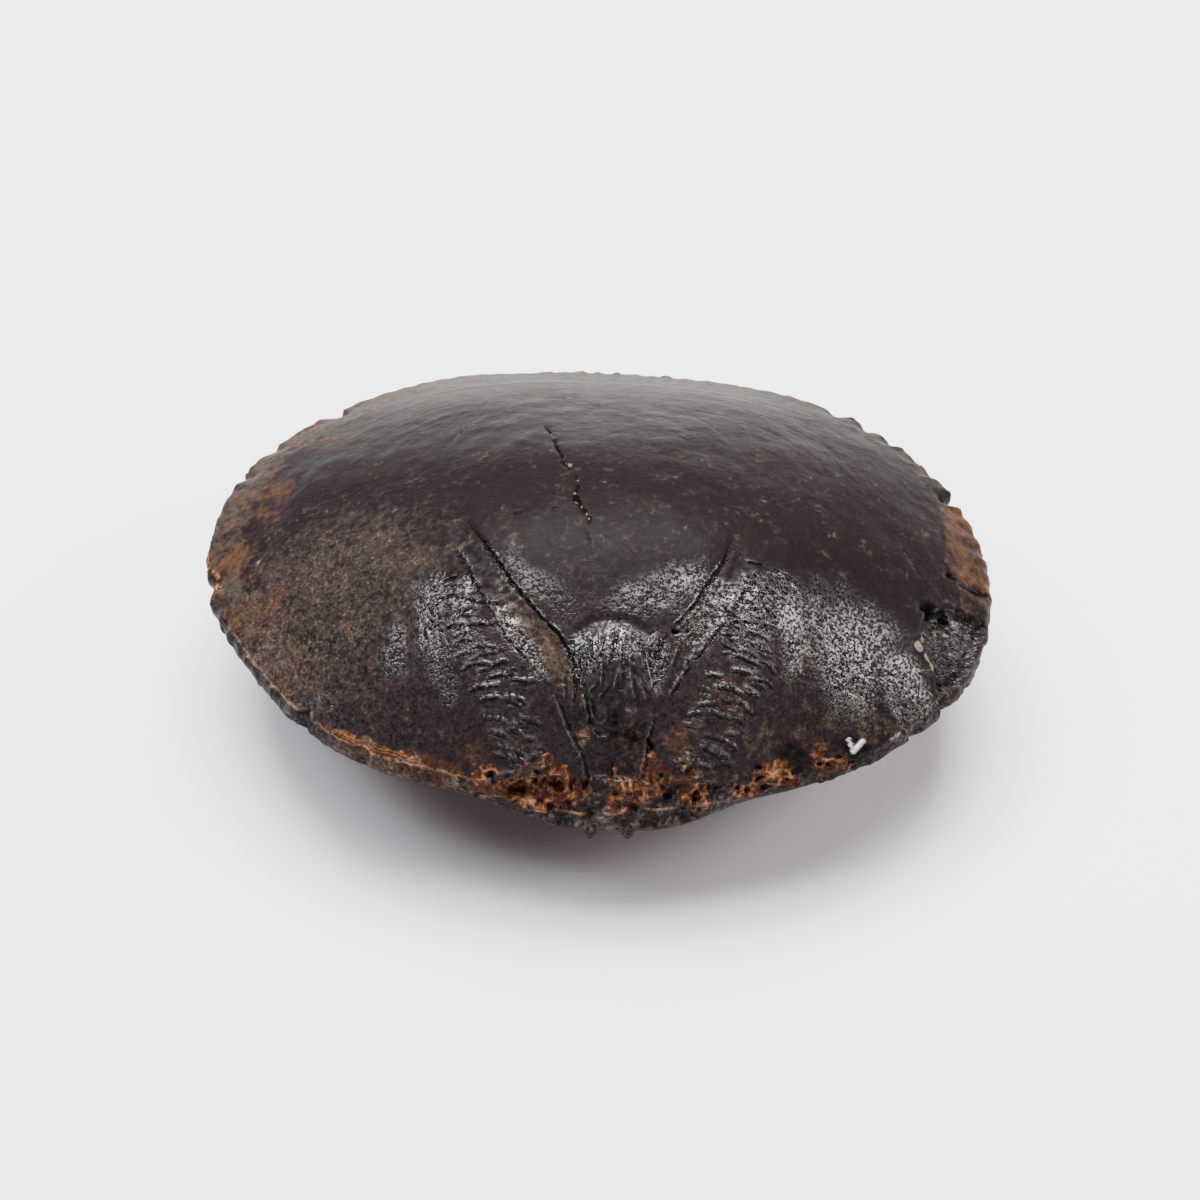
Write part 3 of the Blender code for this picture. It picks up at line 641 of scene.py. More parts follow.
# The lower valve, the hinge and the beak's two points.
underside = dict(
    foldHalfWidth=4.2, foldDepth=0.5,
    scarLobes=((-2.1, -6.3), (3.2, -6.3)), scarRadii=(2.5, 3.9), scarHeight=0.45,
    slots=(
        ((-0.7, -12.9), (-3.6, -10.2), (-5.0, -6.9), (-4.4, -3.6)),
        ((1.8, -12.9), (4.7, -10.2), (6.1, -6.9), (5.5, -3.6)),
    ),
    slotHalfWidth=0.3, slotDepth=0.42,
    teeth=((-0.35, -13.65, 0.42), (1.3, -13.65, 0.38)), toothRadii=(0.42, 0.67),  # x, y, length
    cavities=(  # x, level in the hinge from -1 to 1, radius, depth
        (-3.6, 0.35, 0.75, 0.55), (-1.9, 0.55, 0.45, 0.5), (1.6, -0.1, 0.4, 0.35), (3.1, 0.25, 0.55, 0.5),
        (4.4, 0.2, 0.45, 0.4), (7.3, 0.3, 0.6, 0.4), (-5.2, -0.3, 0.5, 0.3), (-0.4, -0.45, 0.4, 0.35),
    ),
    thinnedFrom=8.8,  # the faces this far below the crest are thinned
)


def lowerRelief(x, y, share):  # outwards, which is down
    fold = smoothStep(1.0 - np.abs(x - shell["midline"]) / underside["foldHalfWidth"])
    fold *= smoothStep((y - 1.0) / 8.0) * smoothStep((1.05 - share) / 0.2)
    total = -underside["foldDepth"] * fold
    for lobe in underside["scarLobes"]:
        total += underside["scarHeight"] * mound(x, y, lobe, underside["scarRadii"])
    for slot in underside["slots"]:
        total -= underside["slotDepth"] * stroke(x, y, slot, underside["slotHalfWidth"])
    for toothX, toothY, length in underside["teeth"]:
        total += length * mound(x, y, (toothX, toothY), underside["toothRadii"])
    return total


def wallRelief(x, w, angle, plain):  # the rough band between the valves, with its cavities at the hinge
    total = 0.05 * np.sin(31.0 * angle + 2.0 * w) * np.sin(17.0 * angle) + 0.08 * cloud(plain, 0.45, 81, 3)
    behind = smoothStep(-2.0 * np.sin(angle) - 0.8)
    total += 0.12 * behind * cloud(plain * np.array([0.7, 1.0, 2.0]), 0.6, 82, 2)
    for cavityX, level, radius, depth in underside["cavities"]:
        cavity = smoothStep(1.0 - np.hypot((x - cavityX) / radius, (w - level) / radius))
        total -= np.where(np.sin(angle) < 0.0, depth * cavity, 0.0)
    return total


# The mesh that all of this is put on.
stone = dict(
    cellsAcross=324, cellsAlong=232, wallRows=10,
    crowdAcross=(0.05, 0.42, 0.9), crowdAlong=(-0.62, 0.36, 1.1),  # centre, spread, how much closer
    mostTriangles=196000,
)


def crowd(values, centre, spread, extra):  # -1 to 1 again, with the lines closer round the centre
    line = np.linspace(-1.0, 1.0, 801)
    closeness = 1.0 + extra * np.exp(-(((line - centre) / spread) ** 2))
    filled = np.concatenate([[0.0], np.cumsum((closeness[1:] + closeness[:-1]) / 2.0)])
    return np.interp(values, filled / filled[-1] * 2.0 - 1.0, line)


def addSlab():  # a grid pulled up into a slab whose corners are at -1 and 1
    bpy.ops.object.select_all(action="DESELECT")
    bpy.ops.mesh.primitive_grid_add(
        x_subdivisions=stone["cellsAcross"], y_subdivisions=stone["cellsAlong"],
        size=2.0, location=(0.0, 0.0, 0.0))
    slab = bpy.context.object
    slab.name = "fossil_stone"
    bpy.ops.object.mode_set(mode="EDIT")
    bpy.ops.mesh.select_all(action="SELECT")
    bpy.ops.transform.translate(value=(0.0, 0.0, -1.0))
    step = 2.0 / stone["wallRows"]
    for row in range(stone["wallRows"]):
        bpy.ops.mesh.extrude_region_move(TRANSFORM_OT_translate={"value": (0.0, 0.0, step)})
    bpy.ops.mesh.select_all(action="SELECT")
    bpy.ops.mesh.normals_make_consistent(inside=False)
    bpy.ops.object.mode_set(mode="OBJECT")
    return slab


def readPoints(piece):
    flat = np.empty(len(piece.data.vertices) * 3, np.float32)
    piece.data.vertices.foreach_get("co", flat)
    return flat.reshape(-1, 3).astype(float)


def writePoints(piece, points):
    piece.data.vertices.foreach_set("co", points.astype(np.float32).ravel())
    piece.data.update()


def readNormals(piece):
    flat = np.empty(len(piece.data.vertices) * 3, np.float32)
    piece.data.vertex_normals.foreach_get("vector", flat)
    return flat.reshape(-1, 3).astype(float)


def addMask(piece, name, values, least=0.0, most=1.0):
    mask = piece.data.attributes.new(name, "FLOAT", "POINT")
    mask.data.foreach_set("value", np.clip(values, least, most).astype(np.float32))


def placesOf(piece):  # every point's place on the plain stone; w is 1 on the upper valve and -1 on the lower
    u, v, w = readPoints(piece).T
    u = crowd(u, *stone["crowdAcross"])
    v = crowd(v, *stone["crowdAlong"])
    w = np.round(w, 4)
    plain = np.stack(plainPoints(u, v, w), axis=1)
    _, _, share, angle = planOf(u, v)
    onTop = w > 0.999
    below = w < -0.999
    return SimpleNamespace(
        x=plain[:, 0], y=plain[:, 1], w=w, plain=plain, share=share, angle=angle,
        inward=(1.0 - share) * rimRadius(angle), onTop=onTop, below=below, onWall=~(onTop | below))


def addCrust(at):  # the rust, the pores in it and its sponge-like roughness
    at.rust = crustShare(at.share, at.angle, at.w, at.plain)
    bent = at.plain + 0.12 * np.stack([cloud(at.plain, 0.5, 65 + k) for k in range(3)], axis=1)
    first, second = cells(bent, 0.5, 61)
    at.pores = smoothStep((second - first - 0.16) / 0.3) * smoothStep(cloud(at.plain, 0.7, 68) + 0.75)
    at.sponge = 0.1 - 0.26 * at.pores + 0.12 * cloud(at.plain, 0.9, 62, 2)


def addPolish(at):  # where the stone is gritty, and where it has a fine sparkle
    at.grit = np.zeros(at.x.shape)
    for gritX, gritY, radiusX, radiusY, strength in patches["grit"]:
        at.grit += strength * mound(at.x, at.y, (gritX, gritY), (radiusX, radiusY))
    at.grit = np.clip(at.grit, 0.0, 1.0)
    at.polish = spotShare(at.x, at.y, patches["polished"])
    for path, halfWidth, strength in patches["polishedPaths"]:
        at.polish = np.maximum(at.polish, strength * stroke(at.x, at.y, path, halfWidth, 0.3, 0.3))


def upperRelief(at):  # also leaves the lines, the bands and the pits in at, for the masks
    at.ridges, at.grooves = Lines(len(at.x)), Lines(len(at.x))
    marks = (at.x, at.y, at.plain, at.ridges, at.grooves)
    total, at.bands = slotRelief(*marks)
    at.pits = pitRelief(at.x, at.y, at.plain)
    total += fieldRelief(*marks) + knobRelief(*marks) + at.pits + breakRelief(*marks) + crackRelief(*marks)
    total += 0.03 * at.ridges.form() - 0.05 * at.grooves.form()
    total -= 0.2 * stroke(at.x, at.y, relief["leftFlankHollow"], 0.7, 0.3, 0.3)
    lumps = 0.03 * at.grit * cloud(at.plain, 0.42, 73, 2) + 0.03 * at.polish * cloud(at.plain, 0.18, 74)
    return total + lumps + at.rust * at.sponge


def shapeStone(piece):  # returns the finished places, and how far they were moved to where the solid stands
    at = placesOf(piece)
    writePoints(piece, at.plain)
    normals = readNormals(piece)
    addCrust(at)
    addPolish(at)
    bothValves = ribRelief(at.share, at.angle) + ledgeRelief(at.x, at.y, at.share, at.plain)
    bothValves += 0.05 * cloud(at.plain, 3.2, 71, 2) + 0.018 * cloud(at.plain, 0.7, 72, 2)
    upper = bothValves + upperRelief(at)
    lower = bothValves + lowerRelief(at.x, at.y, at.share)
    wall = wallRelief(at.x, at.w, at.angle, at.plain) + at.rust * at.sponge
    out = np.where(at.onTop, upper, np.where(at.below, lower, wall))
    points = at.plain + normals * out[:, None]

    floor = points[:, 2].min() + shell["restCut"]  # the lowest part is worn flat
    above = points[:, 2] - floor
    blend = np.maximum(1.0 - np.abs(above) / shell["restBlend"], 0.0)
    points[:, 2] = floor + np.maximum(above, 0.0) + shell["restBlend"] * blend**2 / 4.0
    middle = (points.min(axis=0) + points.max(axis=0)) / 2.0
    cadMiddle = (cadLow + cadHigh) / 2.0
    shift = np.array([cadMiddle.x / mm - middle[0], cadMiddle.y / mm - middle[1], cadLow.z / mm - floor])
    writePoints(piece, (points + shift) * mm)
    return at, shift


def rimMasks(at):  # the colours that follow the margin and the hinge
    x, y, w, share = at.x, at.y, at.w, at.share
    turn = np.degrees(at.angle)
    tan = smoothStep((3.2 - at.inward) / 2.4) * (0.6 + 0.4 * smoothStep(-x / 8.0))
    tan *= 1.0 - 0.9 * smoothStep((34.0 - np.abs(turn + 118.0)) / 10.0)
    orangeRim = smoothStep((10.5 - np.abs(turn + 132.5)) / 4.0)
    rimLine = smoothStep((share - 0.99 + 0.016 * orangeRim) / 0.01)
    rimLine *= smoothStep(2.0 - np.abs(at.angle + 2.45) / 0.35)
    rimLine = np.where(at.onTop | (w > 0.9), rimLine, 0.0)
    scaly = smoothStep((share - 0.8) / 0.1) * smoothStep(-2.5 * np.sin(at.angle) - 0.6) * (1.0 - at.rust)
    # the band by the far margin where the lamps' reflection lies: it gets more gloss, and its base is painted
    # lighter, warmer and streaked as painted highlight
    sheen = smoothStep((y - 4.5) / 4.0) * smoothStep((share - 0.6) / 0.3)
    sheen *= smoothStep(1.6 - np.abs(x + 0.5) / 9.0)
    facet = smoothStep(inside(x, y, damage["facet"]) / 0.25 + 0.3)
    stained = np.maximum(spotShare(x, y, patches["stains"]), 0.85 * facet)
    nearLeft = smoothStep((14.0 - np.abs(turn + 128.0)) / 4.0)
    stainedTop = np.maximum(stained, nearLeft * smoothStep((0.5 - at.inward) / 0.3))
    stained = np.where(at.onWall, np.maximum(0.6 * stained, nearLeft), stainedTop)
    return dict(
        tan=np.where(at.onWall, 0.25, tan),
        rimLine=np.maximum(rimLine, 1.3 * mound(x, y, *patches["beakRust"])),
        scaly=np.where(at.onTop, 0.0, scaly),
        sheen=np.where(at.onTop, sheen, 0.0),
        stain=np.where(at.below, 0.0, stained),
    )


def spotMasks(at):  # the colours of the pits, the break, the grains and the shard
    x, y = at.x, at.y
    pale = np.zeros(x.shape)
    for grainX, grainY, radius in damage["grains"]:
        pale = np.maximum(pale, smoothStep(1.5 * mound(x, y, (grainX, grainY), (radius, 1.3 * radius))))
    shard = smoothStep(1.5 * stroke(x, y, damage["shard"], damage["shardHalfWidth"], 0.04, 0.04))
    dark = np.zeros(x.shape)
    for spotX, spotY, radiusX, radiusY in patches["darkCorners"]:
        dark = np.maximum(dark, mound(x, y, (spotX, spotY), (radiusX, radiusY)))
    # painted shade: the pits are painted black; two dark patches near the hinge's right end are darkened as
    # well
    crevice = np.maximum(smoothStep((-at.pits - 0.08) / 0.2), 0.75 * smoothStep(1.5 * dark)) * (1.0 - shard)
    broken = smoothStep(inside(x, y, damage["breakOutline"]) / 0.35)
    onTop = dict(
        pale=np.maximum(pale, shard), shard=shard, broken=broken, sage=mound(x, y, *patches["sage"]),
        polish=at.polish * (1.0 - at.rust), groove=at.grooves.strength,
        band=at.bands * (0.35 + 0.65 * smoothStep((-y - 6.3) / 1.5)),
    )
    masks = {name: np.where(at.onTop, values, 0.0) for name, values in onTop.items()}
    masks["crevice"] = np.where(at.onTop | (at.onWall & (at.w > 0.3)), crevice, 0.0)
    return masks


def addMasks(piece, at):  # what the finish reads from the mesh
    x, y, w = at.x, at.y, at.w
    # painted fill light: the base is painted lighter on the front slopes towards the hinge and in the trough
    # under the beak, where the lamps behind leave them in shade; the wall and the lower valve take a fixed
    # share of it
    dust = 0.1 + 0.95 * smoothStep((-y - 5.0) / 4.5) * smoothStep((18.0 - x) / 14.0)
    dust = np.where(at.onTop, dust + 0.8 * mound(x, y, *patches["paintedBeakFill"]), np.where(at.below, 0.5, 0.6))
    hingeLine = (w + 0.3 + 0.3 * cloud(at.plain, 1.6, 75, 2)) / 0.12  # the seam between the valves
    hingeRange = smoothStep((7.5 - np.abs(x - 1.0)) / 1.5) * np.where(np.sin(at.angle) < 0.0, 1.0, 0.0)
    hingeRange *= 0.8 * smoothStep(0.75 + 1.6 * cloud(at.plain, 0.8, 76))
    # on the top, the ridges' strength, where crests are painted pale as painted highlight; on the wall, the
    # seam between the valves
    crest = np.where(at.onWall, hingeRange, np.where(at.onTop, at.ridges.strength, 0.0))
    crest *= 1.0 - 0.7 * np.where(at.onTop, at.rust, 0.0)
    masks = dict(
        dust=dust, rust=at.rust, pores=at.pores * at.rust, grit=np.where(at.onTop, at.grit, 0.55),
        wall=np.where(at.onWall, 1.0, 0.0), ridge=crest, **rimMasks(at), **spotMasks(at),
    )
    for name, values in masks.items():
        addMask(piece, name, values)
    farthest = Lines.farthest
    addMask(piece, "ridgeAway", np.where(at.onWall, hingeLine, at.ridges.away), -farthest, farthest)
    addMask(piece, "grooveAway", at.grooves.away, -farthest, farthest)
    addMask(piece, "inward", np.where(at.onTop, at.inward, 0.0), 0.0, 20.0)


def thinUnderside(piece):  # the lower valve has fewer forms, so most of its faces can go
    group = piece.vertex_groups.new(name="underside")
    heights = readPoints(piece)[:, 2]
    low = heights < heights.max() - underside["thinnedFrom"] * mm
    group.add([int(i) for i in np.flatnonzero(low)], 1.0, "REPLACE")
    count = sum(len(face.vertices) - 2 for face in piece.data.polygons)
    thin = piece.modifiers.new("Thin the underside", "DECIMATE")
    thin.vertex_group = "underside"
    thin.ratio = stone["mostTriangles"] / count
    bpy.ops.object.select_all(action="DESELECT")
    bpy.context.view_layer.objects.active = piece
    piece.select_set(True)
    bpy.ops.object.modifier_apply(modifier=thin.name)
    piece.vertex_groups.clear()


# Tools for finishes. A wire is a node's output, and sums and products of wires add Math nodes.
class Wire:
    def __init__(self, finish, socket):
        self.finish = finish
        self.socket = socket

    def math(self, operation, first, second):
        return self.finish.node("ShaderNodeMath", {"operation": operation}, [first, second])

    def __add__(self, other):
        return self.math("ADD", self, other)

    def __sub__(self, other):
        return self.math("SUBTRACT", self, other)

    def __rsub__(self, other):
        return self.math("SUBTRACT", other, self)

    def __mul__(self, other):
        return self.math("MULTIPLY", self, other)

    __radd__ = __add__
    __rmul__ = __mul__

    def ramp(self, low, high):  # 0 below low and 1 above high, smooth between
        smooth = {"interpolation_type": "SMOOTHSTEP"}
        return self.finish.node("ShaderNodeMapRange", smooth, [self, low, high])

    def size(self):
        return self.math("ABSOLUTE", self, 0.0)


class Finish:
    def __init__(self, name):
        self.material = bpy.data.materials.new(name)
        self.material.use_nodes = True
        self.tree = self.material.node_tree
        self.shader = self.tree.nodes["Principled BSDF"]

    def node(self, kind, settings, values, output=0):
        made = self.tree.nodes.new(kind)
        for name, value in settings.items():
            setattr(made, name, value)
        for key, value in values.items() if isinstance(values, dict) else enumerate(values):
            self.feed(made.inputs[key], value)
        return Wire(self, made.outputs[output])

    def feed(self, socket, value):
        if isinstance(value, Wire):
            self.tree.links.new(value.socket, socket)
        else:
            socket.default_value = value

    def mask(self, name):
        return self.node("ShaderNodeAttribute", {"attribute_name": name}, [], 2)

    def noise(self, size, detail, roughness):
        values = {"Scale": 1.0 / (size * mm), "Detail": detail, "Roughness": roughness}
        return self.node("ShaderNodeTexNoise", {}, {"Vector": self.place(), **values})

    def stripes(self, along, detail=2.0, roughness=0.5):  # noise that changes only along one value
        values = {"W": along, "Detail": detail, "Roughness": roughness}
        return self.node("ShaderNodeTexNoise", {"noise_dimensions": "1D"}, values)

    def place(self):
        return self.node("ShaderNodeTexCoord", {}, [], 3)

    def scaled(self, vector, scale):
        return self.node("ShaderNodeVectorMath", {"operation": "SCALE"}, {"Vector": vector, "Scale": scale})

    def cells(self, size):  # distance to the walls between scattered cells, as a share of their size
        bend = self.node("ShaderNodeTexNoise", {}, {"Vector": self.place(), "Scale": 0.8 / (size * mm)}, 1)
        bent = [self.place(), self.scaled(bend, 0.9 * size * mm)]
        bent = self.node("ShaderNodeVectorMath", {"operation": "ADD"}, bent)
        values = {"Vector": bent, "Scale": 1.0 / (size * mm)}
        return self.node("ShaderNodeTexVoronoi", {"feature": "DISTANCE_TO_EDGE"}, values)

    def mix(self, factor, first, second):
        return self.node("ShaderNodeMix", {"data_type": "RGBA"}, {0: factor, 6: first, 7: second}, 2)

    def bump(self, height):  # height in millimetres
        return self.node("ShaderNodeBump", {}, {"Distance": mm, "Height": height})


def colour(red, green, blue):
    return (red, green, blue, 1.0)


ironstone = dict(
    dark=colour(0.0068, 0.0044, 0.0049), plum=colour(0.0088, 0.005, 0.0053),
    # the first colour on the next line is painted fill light, laid on the shaded front slopes
    dust=colour(0.018, 0.0132, 0.0141), brown=colour(0.03, 0.0215, 0.0182),
    fleck=colour(0.062, 0.051, 0.047), tan=colour(0.044, 0.029, 0.0205),
    ochre=colour(0.05, 0.023, 0.0115), band=colour(0.05, 0.035, 0.026),
    rust=colour(0.098, 0.036, 0.014), deepRust=colour(0.032, 0.011, 0.006), honey=colour(0.2, 0.095, 0.04),
    # black is painted shade, laid in the pits, the grooves and between the polished wrinkles
    black=colour(0.0014, 0.001, 0.001), hollow=colour(0.007, 0.0032, 0.0022),
    pale=colour(0.12, 0.1, 0.072), sage=colour(0.03, 0.029, 0.024), crumb=colour(0.05, 0.042, 0.03),
    # crest is a painted highlight for the ridge tops, and the shard's near-white is a painted glint
    crest=colour(0.1, 0.09, 0.087), shard=colour(0.45, 0.43, 0.41),
    matteSpecular=0.03, polishedSpecular=1.0, polishedRoughness=0.27,
    grain=(  # size, detail, roughness
        (4.5, 4.0, 0.6), (1.1, 4.0, 0.65), (0.32, 3.0, 0.6), (0.13, 1.0, 0.5),
    ),
    crustCells=0.42, sparkleSize=0.14,
    masks=(
        "rust", "stain", "tan", "polish", "pores", "grit", "crevice", "pale", "sage",
        "broken", "dust", "rimLine", "band", "sheen", "wall", "shard", "scaly", "inward",
    ),
)


def findMarks(finish, grain):  # where each look is on the stone, from 0 to 1
    broad, middle, fine, _ = grain
    on = SimpleNamespace(**{name: finish.mask(name) for name in ironstone["masks"]})
    on.ridge = (1.0 - finish.mask("ridgeAway").size()).ramp(0.0, 1.0) * finish.mask("ridge")
    on.groove = (1.0 - finish.mask("grooveAway").size()).ramp(0.0, 0.8) * finish.mask("groove")
    on.growth = finish.stripes(on.inward * 3.2 + 0.9 * broad + 0.2 * middle, 3.0, 0.65) - 0.5
    on.streaks = finish.stripes(on.inward * 7.0 + 2.0 * broad + 1.2 * middle) - 0.5
    on.walls = finish.cells(ironstone["crustCells"])
    on.crustPits = (1.2 * on.walls + 0.9 * middle + 0.5 * fine).ramp(0.28, 0.46)
    on.rusty = (1.15 * on.rust + 1.4 * middle + 0.8 * fine + 0.8 * broad).ramp(0.35, 0.6)
    on.scales = on.scaly * (on.walls + 1.2 * middle + 0.5 * fine).ramp(0.0, 0.5)
    on.worms = (finish.noise(ironstone["sparkleSize"], 1.0, 0.5) - 0.5).ramp(-0.1, 0.05)
    on.silky = (on.polish + 0.6 * middle + 0.4 * broad).ramp(0.05, 1.0)
    return on


def layer(finish, base, layers):  # each layer is how much it covers, and its colour or the colour's name
    for share, colourOf in layers:
        base = finish.mix(share, base, ironstone[colourOf] if isinstance(colourOf, str) else colourOf)
    return base


def crustColour(finish, on, grain):
    _, middle, fine, _ = grain
    return layer(finish, ironstone["deepRust"], (
        ((middle + 0.6 * fine).ramp(-0.12, 0.16), "rust"),
        ((1.1 * middle + 0.9 * fine - 0.7 * on.walls).ramp(-0.06, 0.2) * 0.9, "honey"),
        (on.crustPits * 0.75, "hollow"),
        (on.pores.ramp(0.2, 0.8) * 0.85, "hollow"),
    ))


def stoneColour(finish, on, grain):
    broad, middle, fine, tiny = grain
    crumby = (broad + 1.2 * middle + 0.8 * fine).ramp(0.15, 0.5)
    flecks = finish.mix(crumby, ironstone["dark"], ironstone["crumb"])
    bright = (on.streaks + 0.6 * fine).ramp(-0.15, 0.2)
    rim = finish.mix(bright, ironstone["deepRust"], ironstone["honey"])
    # painted highlight: on the upper valve the ridge tops are painted pale grey; on the wall the seam between
    # the valves takes honey
    crest = finish.mix(on.wall, ironstone["crest"], ironstone["honey"])
    base = layer(finish, ironstone["dark"], (
        ((broad + 0.6 * middle).ramp(-0.05, 0.3), "plum"),
        # painted fill light on the shaded front slopes
        (on.dust, "dust"),
        ((on.grit + 1.6 * middle + 2.2 * fine + 1.2 * broad).ramp(0.1, 1.3) * 0.85, "brown"),
        ((0.95 * on.tan + 1.4 * middle + 1.6 * fine).ramp(0.4, 1.2) * 0.9, "tan"),
        ((on.stain + 1.8 * middle + 1.2 * fine).ramp(0.3, 1.3) * 0.9, "ochre"),
        ((0.45 * on.grit + 1.6 * middle + 1.6 * fine + broad).ramp(0.6, 1.3) * 0.4, "ochre"),
        # painted highlight: the far margin's sheen band is painted tan, streaked along the growth lines
        ((on.sheen + 1.8 * on.growth + 1.0 * middle).ramp(0.1, 1.4) * 0.6, "tan"),
        ((on.band + 2.2 * middle + 2.2 * fine).ramp(0.25, 1.3) * 0.9, "band"),
        ((on.sage + 1.5 * middle + fine).ramp(0.4, 0.8) * 0.8, "sage"),
        ((0.35 * on.grit + 0.1 * on.band + 2.2 * tiny + 1.2 * fine).ramp(0.6, 1.05) * 0.4, "fleck"),
        (on.rusty, crustColour(finish, on, grain)),
        (on.broken * 0.9, flecks),
        ((on.rimLine + 1.2 * fine + 0.6 * middle + on.streaks).ramp(0.4, 1.0) * 0.85, rim),
        (on.scales * 0.6, "fleck"),
        # painted highlight on the ridge tops
        (on.ridge * 0.7, crest),
        # painted shade in the pits, with the two dark patches
        (on.crevice * 0.9, "black"),
        # painted shade: the slots, the crack, the break's layers, the hollows and the grooves under the cross
        # ridges are painted black
        (on.groove, "black"),
        ((on.pale + 0.8 * fine).ramp(0.3, 0.6), "pale"),
        # painted highlight: the shard's near-white glint
        (on.shard, "shard"),
    ))
    # the sheen term paints lighter and darker growth streaks into the far highlight band, as painted
    # highlight
    speckle = 1.0 + 0.6 * fine + 0.6 * tiny + on.grit * (0.5 * fine + 1.6 * tiny) + on.sheen * 1.2 * on.growth
    speckle = speckle + on.dust * (0.8 * fine + 1.2 * tiny)
    # painted shade: in the polished patches the hollows between the glossy wrinkles are painted nearly black
    return finish.mix(on.silky * (1.0 - on.worms) * 0.75, finish.scaled(base, speckle), ironstone["black"])


def stoneHeight(on, grain):  # in millimetres
    _, middle, fine, tiny = grain
    height = 0.012 * middle + 0.02 * fine + 0.008 * tiny + on.grit * (0.05 * fine + 0.025 * tiny)
    height = height + on.silky * 0.04 * on.worms + 0.085 * on.ridge - on.groove * 0.1
    height = height + on.sheen * 0.045 * on.growth + on.rusty * (0.05 * fine - 0.12 * on.crustPits)
    return height + on.broken * 0.06 * fine + 0.12 * on.scales + on.scaly * 0.06 * fine


def stoneShine(on, grain):  # how much of the gloss shows
    _, middle, fine, _ = grain
    shine = on.silky * (0.06 + 1.0 * on.worms) + on.ridge * (0.9 - 0.6 * on.wall)
    shine = shine + on.sheen * (0.24 + 1.5 * on.growth) + on.broken * (0.25 + 0.8 * fine)
    shine = shine + on.rusty * 0.08 + on.rimLine * 0.25 + on.scales * 0.2 + on.shard
    return shine + on.dust * on.worms * (fine + 0.5 * middle).ramp(-0.1, 0.3) * 0.2


def ironstoneFinish():  # dull stone, with gloss over it where it is polished
    finish = Finish("ironstone")
    grain = [finish.noise(*settings) - 0.5 for settings in ironstone["grain"]]
    middle = grain[1]
    on = findMarks(finish, grain)
    base = stoneColour(finish, on, grain)
    surface = finish.bump(stoneHeight(on, grain))
    finish.feed(finish.shader.inputs["Base Color"], base)
    finish.feed(finish.shader.inputs["Roughness"], 0.42 + 0.3 * middle + 0.1 * on.grit + 0.2 * on.rusty)
    finish.feed(finish.shader.inputs["Normal"], surface)
    finish.shader.inputs["Specular IOR Level"].default_value = ironstone["matteSpecular"]
    matte = Wire(finish, finish.shader.outputs[0])
    gloss = finish.node("ShaderNodeBsdfPrincipled", {}, {
        "Base Color": base, "Normal": surface, "Roughness": ironstone["polishedRoughness"],
        "Specular IOR Level": ironstone["polishedSpecular"]})
    both = finish.node("ShaderNodeMixShader", {}, [stoneShine(on, grain), matte, gloss])
    finish.feed(finish.tree.nodes["Material Output"].inputs["Surface"], both)
    return finish.material


def makeStone():
    piece = addSlab()
    at, shift = shapeStone(piece)
    addMasks(piece, at)
    thinUnderside(piece)
    bpy.ops.object.shade_smooth()
    piece.data.materials.append(ironstoneFinish())
    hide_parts(stoneNode)
    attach(piece, "root")
    triangles = sum(len(face.vertices) - 2 for face in piece.data.polygons)
    print("stone made,", triangles, "triangles")
    return shift


# The table, the light and the camera.
stage = dict(
    floorSize=3.0, floorColour=colour(0.9, 0.9, 0.9), floorRoughness=0.7,
    worldColour=colour(1.0, 0.76, 0.8), worldStrength=0.05,
    lamps=(  # name, azimuth and elevation it shines from, distance, width, length, watts, colour
        ("back softbox", 95.0, 55.0, 0.45, 0.4, 0.2, 5.0, (1.0, 0.99, 0.98)),
        ("high softbox", 93.0, 72.0, 0.45, 0.4, 0.3, 5.3, (1.0, 0.99, 0.98)),
        ("right light", 4.0, 30.0, 0.45, 0.2, 0.2, 1.8, (1.0, 0.98, 0.95)),
        ("left window", 172.0, 50.0, 0.45, 0.2, 0.2, 1.5, (0.86, 0.93, 1.0)),
        ("front fill", 270.0, 16.0, 0.45, 0.4, 0.1, 0.4, (1.0, 0.68, 0.72)),
    ),
)
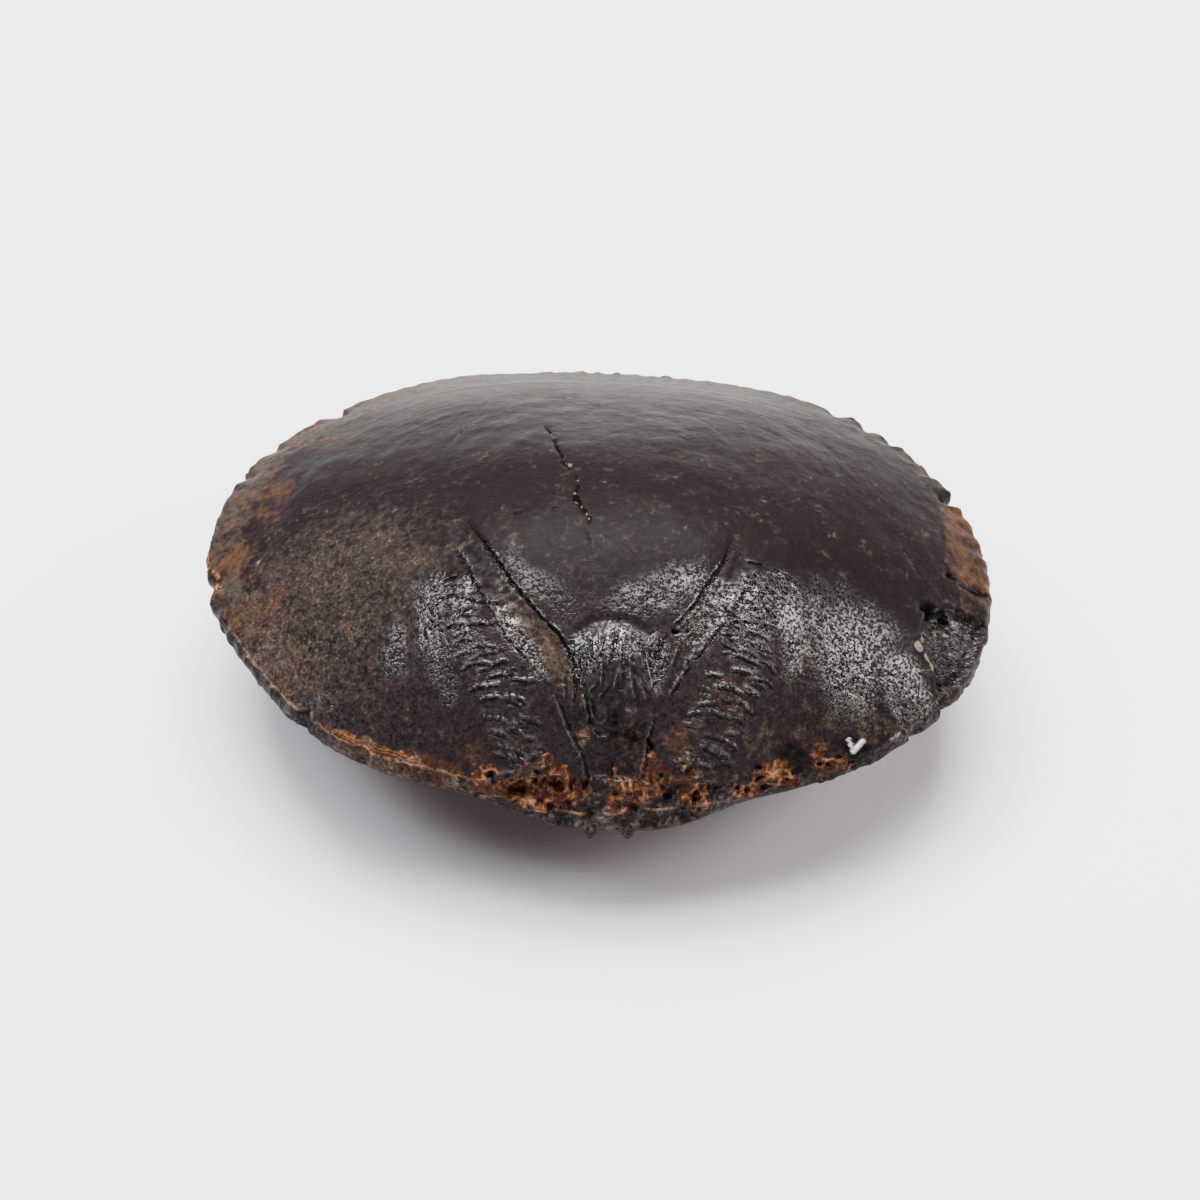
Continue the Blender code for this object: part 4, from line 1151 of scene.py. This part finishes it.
view = dict(elevation=47.0, distance=0.25, lens=163.9, sensor=36.0, aim=(0.09, -1.03, 0.0))


def plainFinish(name, base, roughness):
    finish = Finish(name)
    finish.shader.inputs["Base Color"].default_value = base
    finish.shader.inputs["Roughness"].default_value = roughness
    return finish.material


def makeFloor():
    bpy.ops.object.select_all(action="DESELECT")
    bpy.ops.mesh.primitive_plane_add(size=stage["floorSize"], location=(0.0, 0.0, 0.0))
    floor = bpy.context.object
    floor.name = "table_top"
    floor.data.materials.append(plainFinish("pale table", stage["floorColour"], stage["floorRoughness"]))


def makeLights(target):
    for name, azimuth, elevation, distance, width, length, watts, tint in stage["lamps"]:
        lamp = bpy.data.lights.new(name, "AREA")
        lamp.shape = "RECTANGLE"
        lamp.size = width
        lamp.size_y = length
        lamp.energy = watts
        lamp.color = tint
        holder = bpy.data.objects.new(name, lamp)
        bpy.context.scene.collection.objects.link(holder)
        around, up = math.radians(azimuth), math.radians(elevation)
        way = Vector((math.cos(up) * math.cos(around), math.cos(up) * math.sin(around), math.sin(up)))
        holder.location = target + way * distance
        holder.rotation_euler = (-way).to_track_quat("-Z", "Y").to_euler()
    world = bpy.data.worlds.new("studio")
    world.use_nodes = True
    bpy.context.scene.world = world
    background = world.node_tree.nodes["Background"]
    background.inputs["Color"].default_value = stage["worldColour"]
    background.inputs["Strength"].default_value = stage["worldStrength"]


def makeCamera(target):
    lens = bpy.data.cameras.new("camera")
    lens.lens = view["lens"]
    lens.sensor_width = view["sensor"]
    lens.clip_start = 0.01
    camera = bpy.data.objects.new("camera", lens)
    bpy.context.scene.collection.objects.link(camera)
    tilt = math.radians(view["elevation"])
    back = Vector((0.0, -math.cos(tilt), math.sin(tilt)))
    camera.location = target + back * view["distance"]
    camera.rotation_euler = (-back).to_track_quat("-Z", "Y").to_euler()
    bpy.context.scene.camera = camera


shift = makeStone()
target = Vector([(aim + moved) * mm for aim, moved in zip(view["aim"], shift)])
makeFloor()
makeLights(target)
makeCamera(target)
print("table, light and camera set")
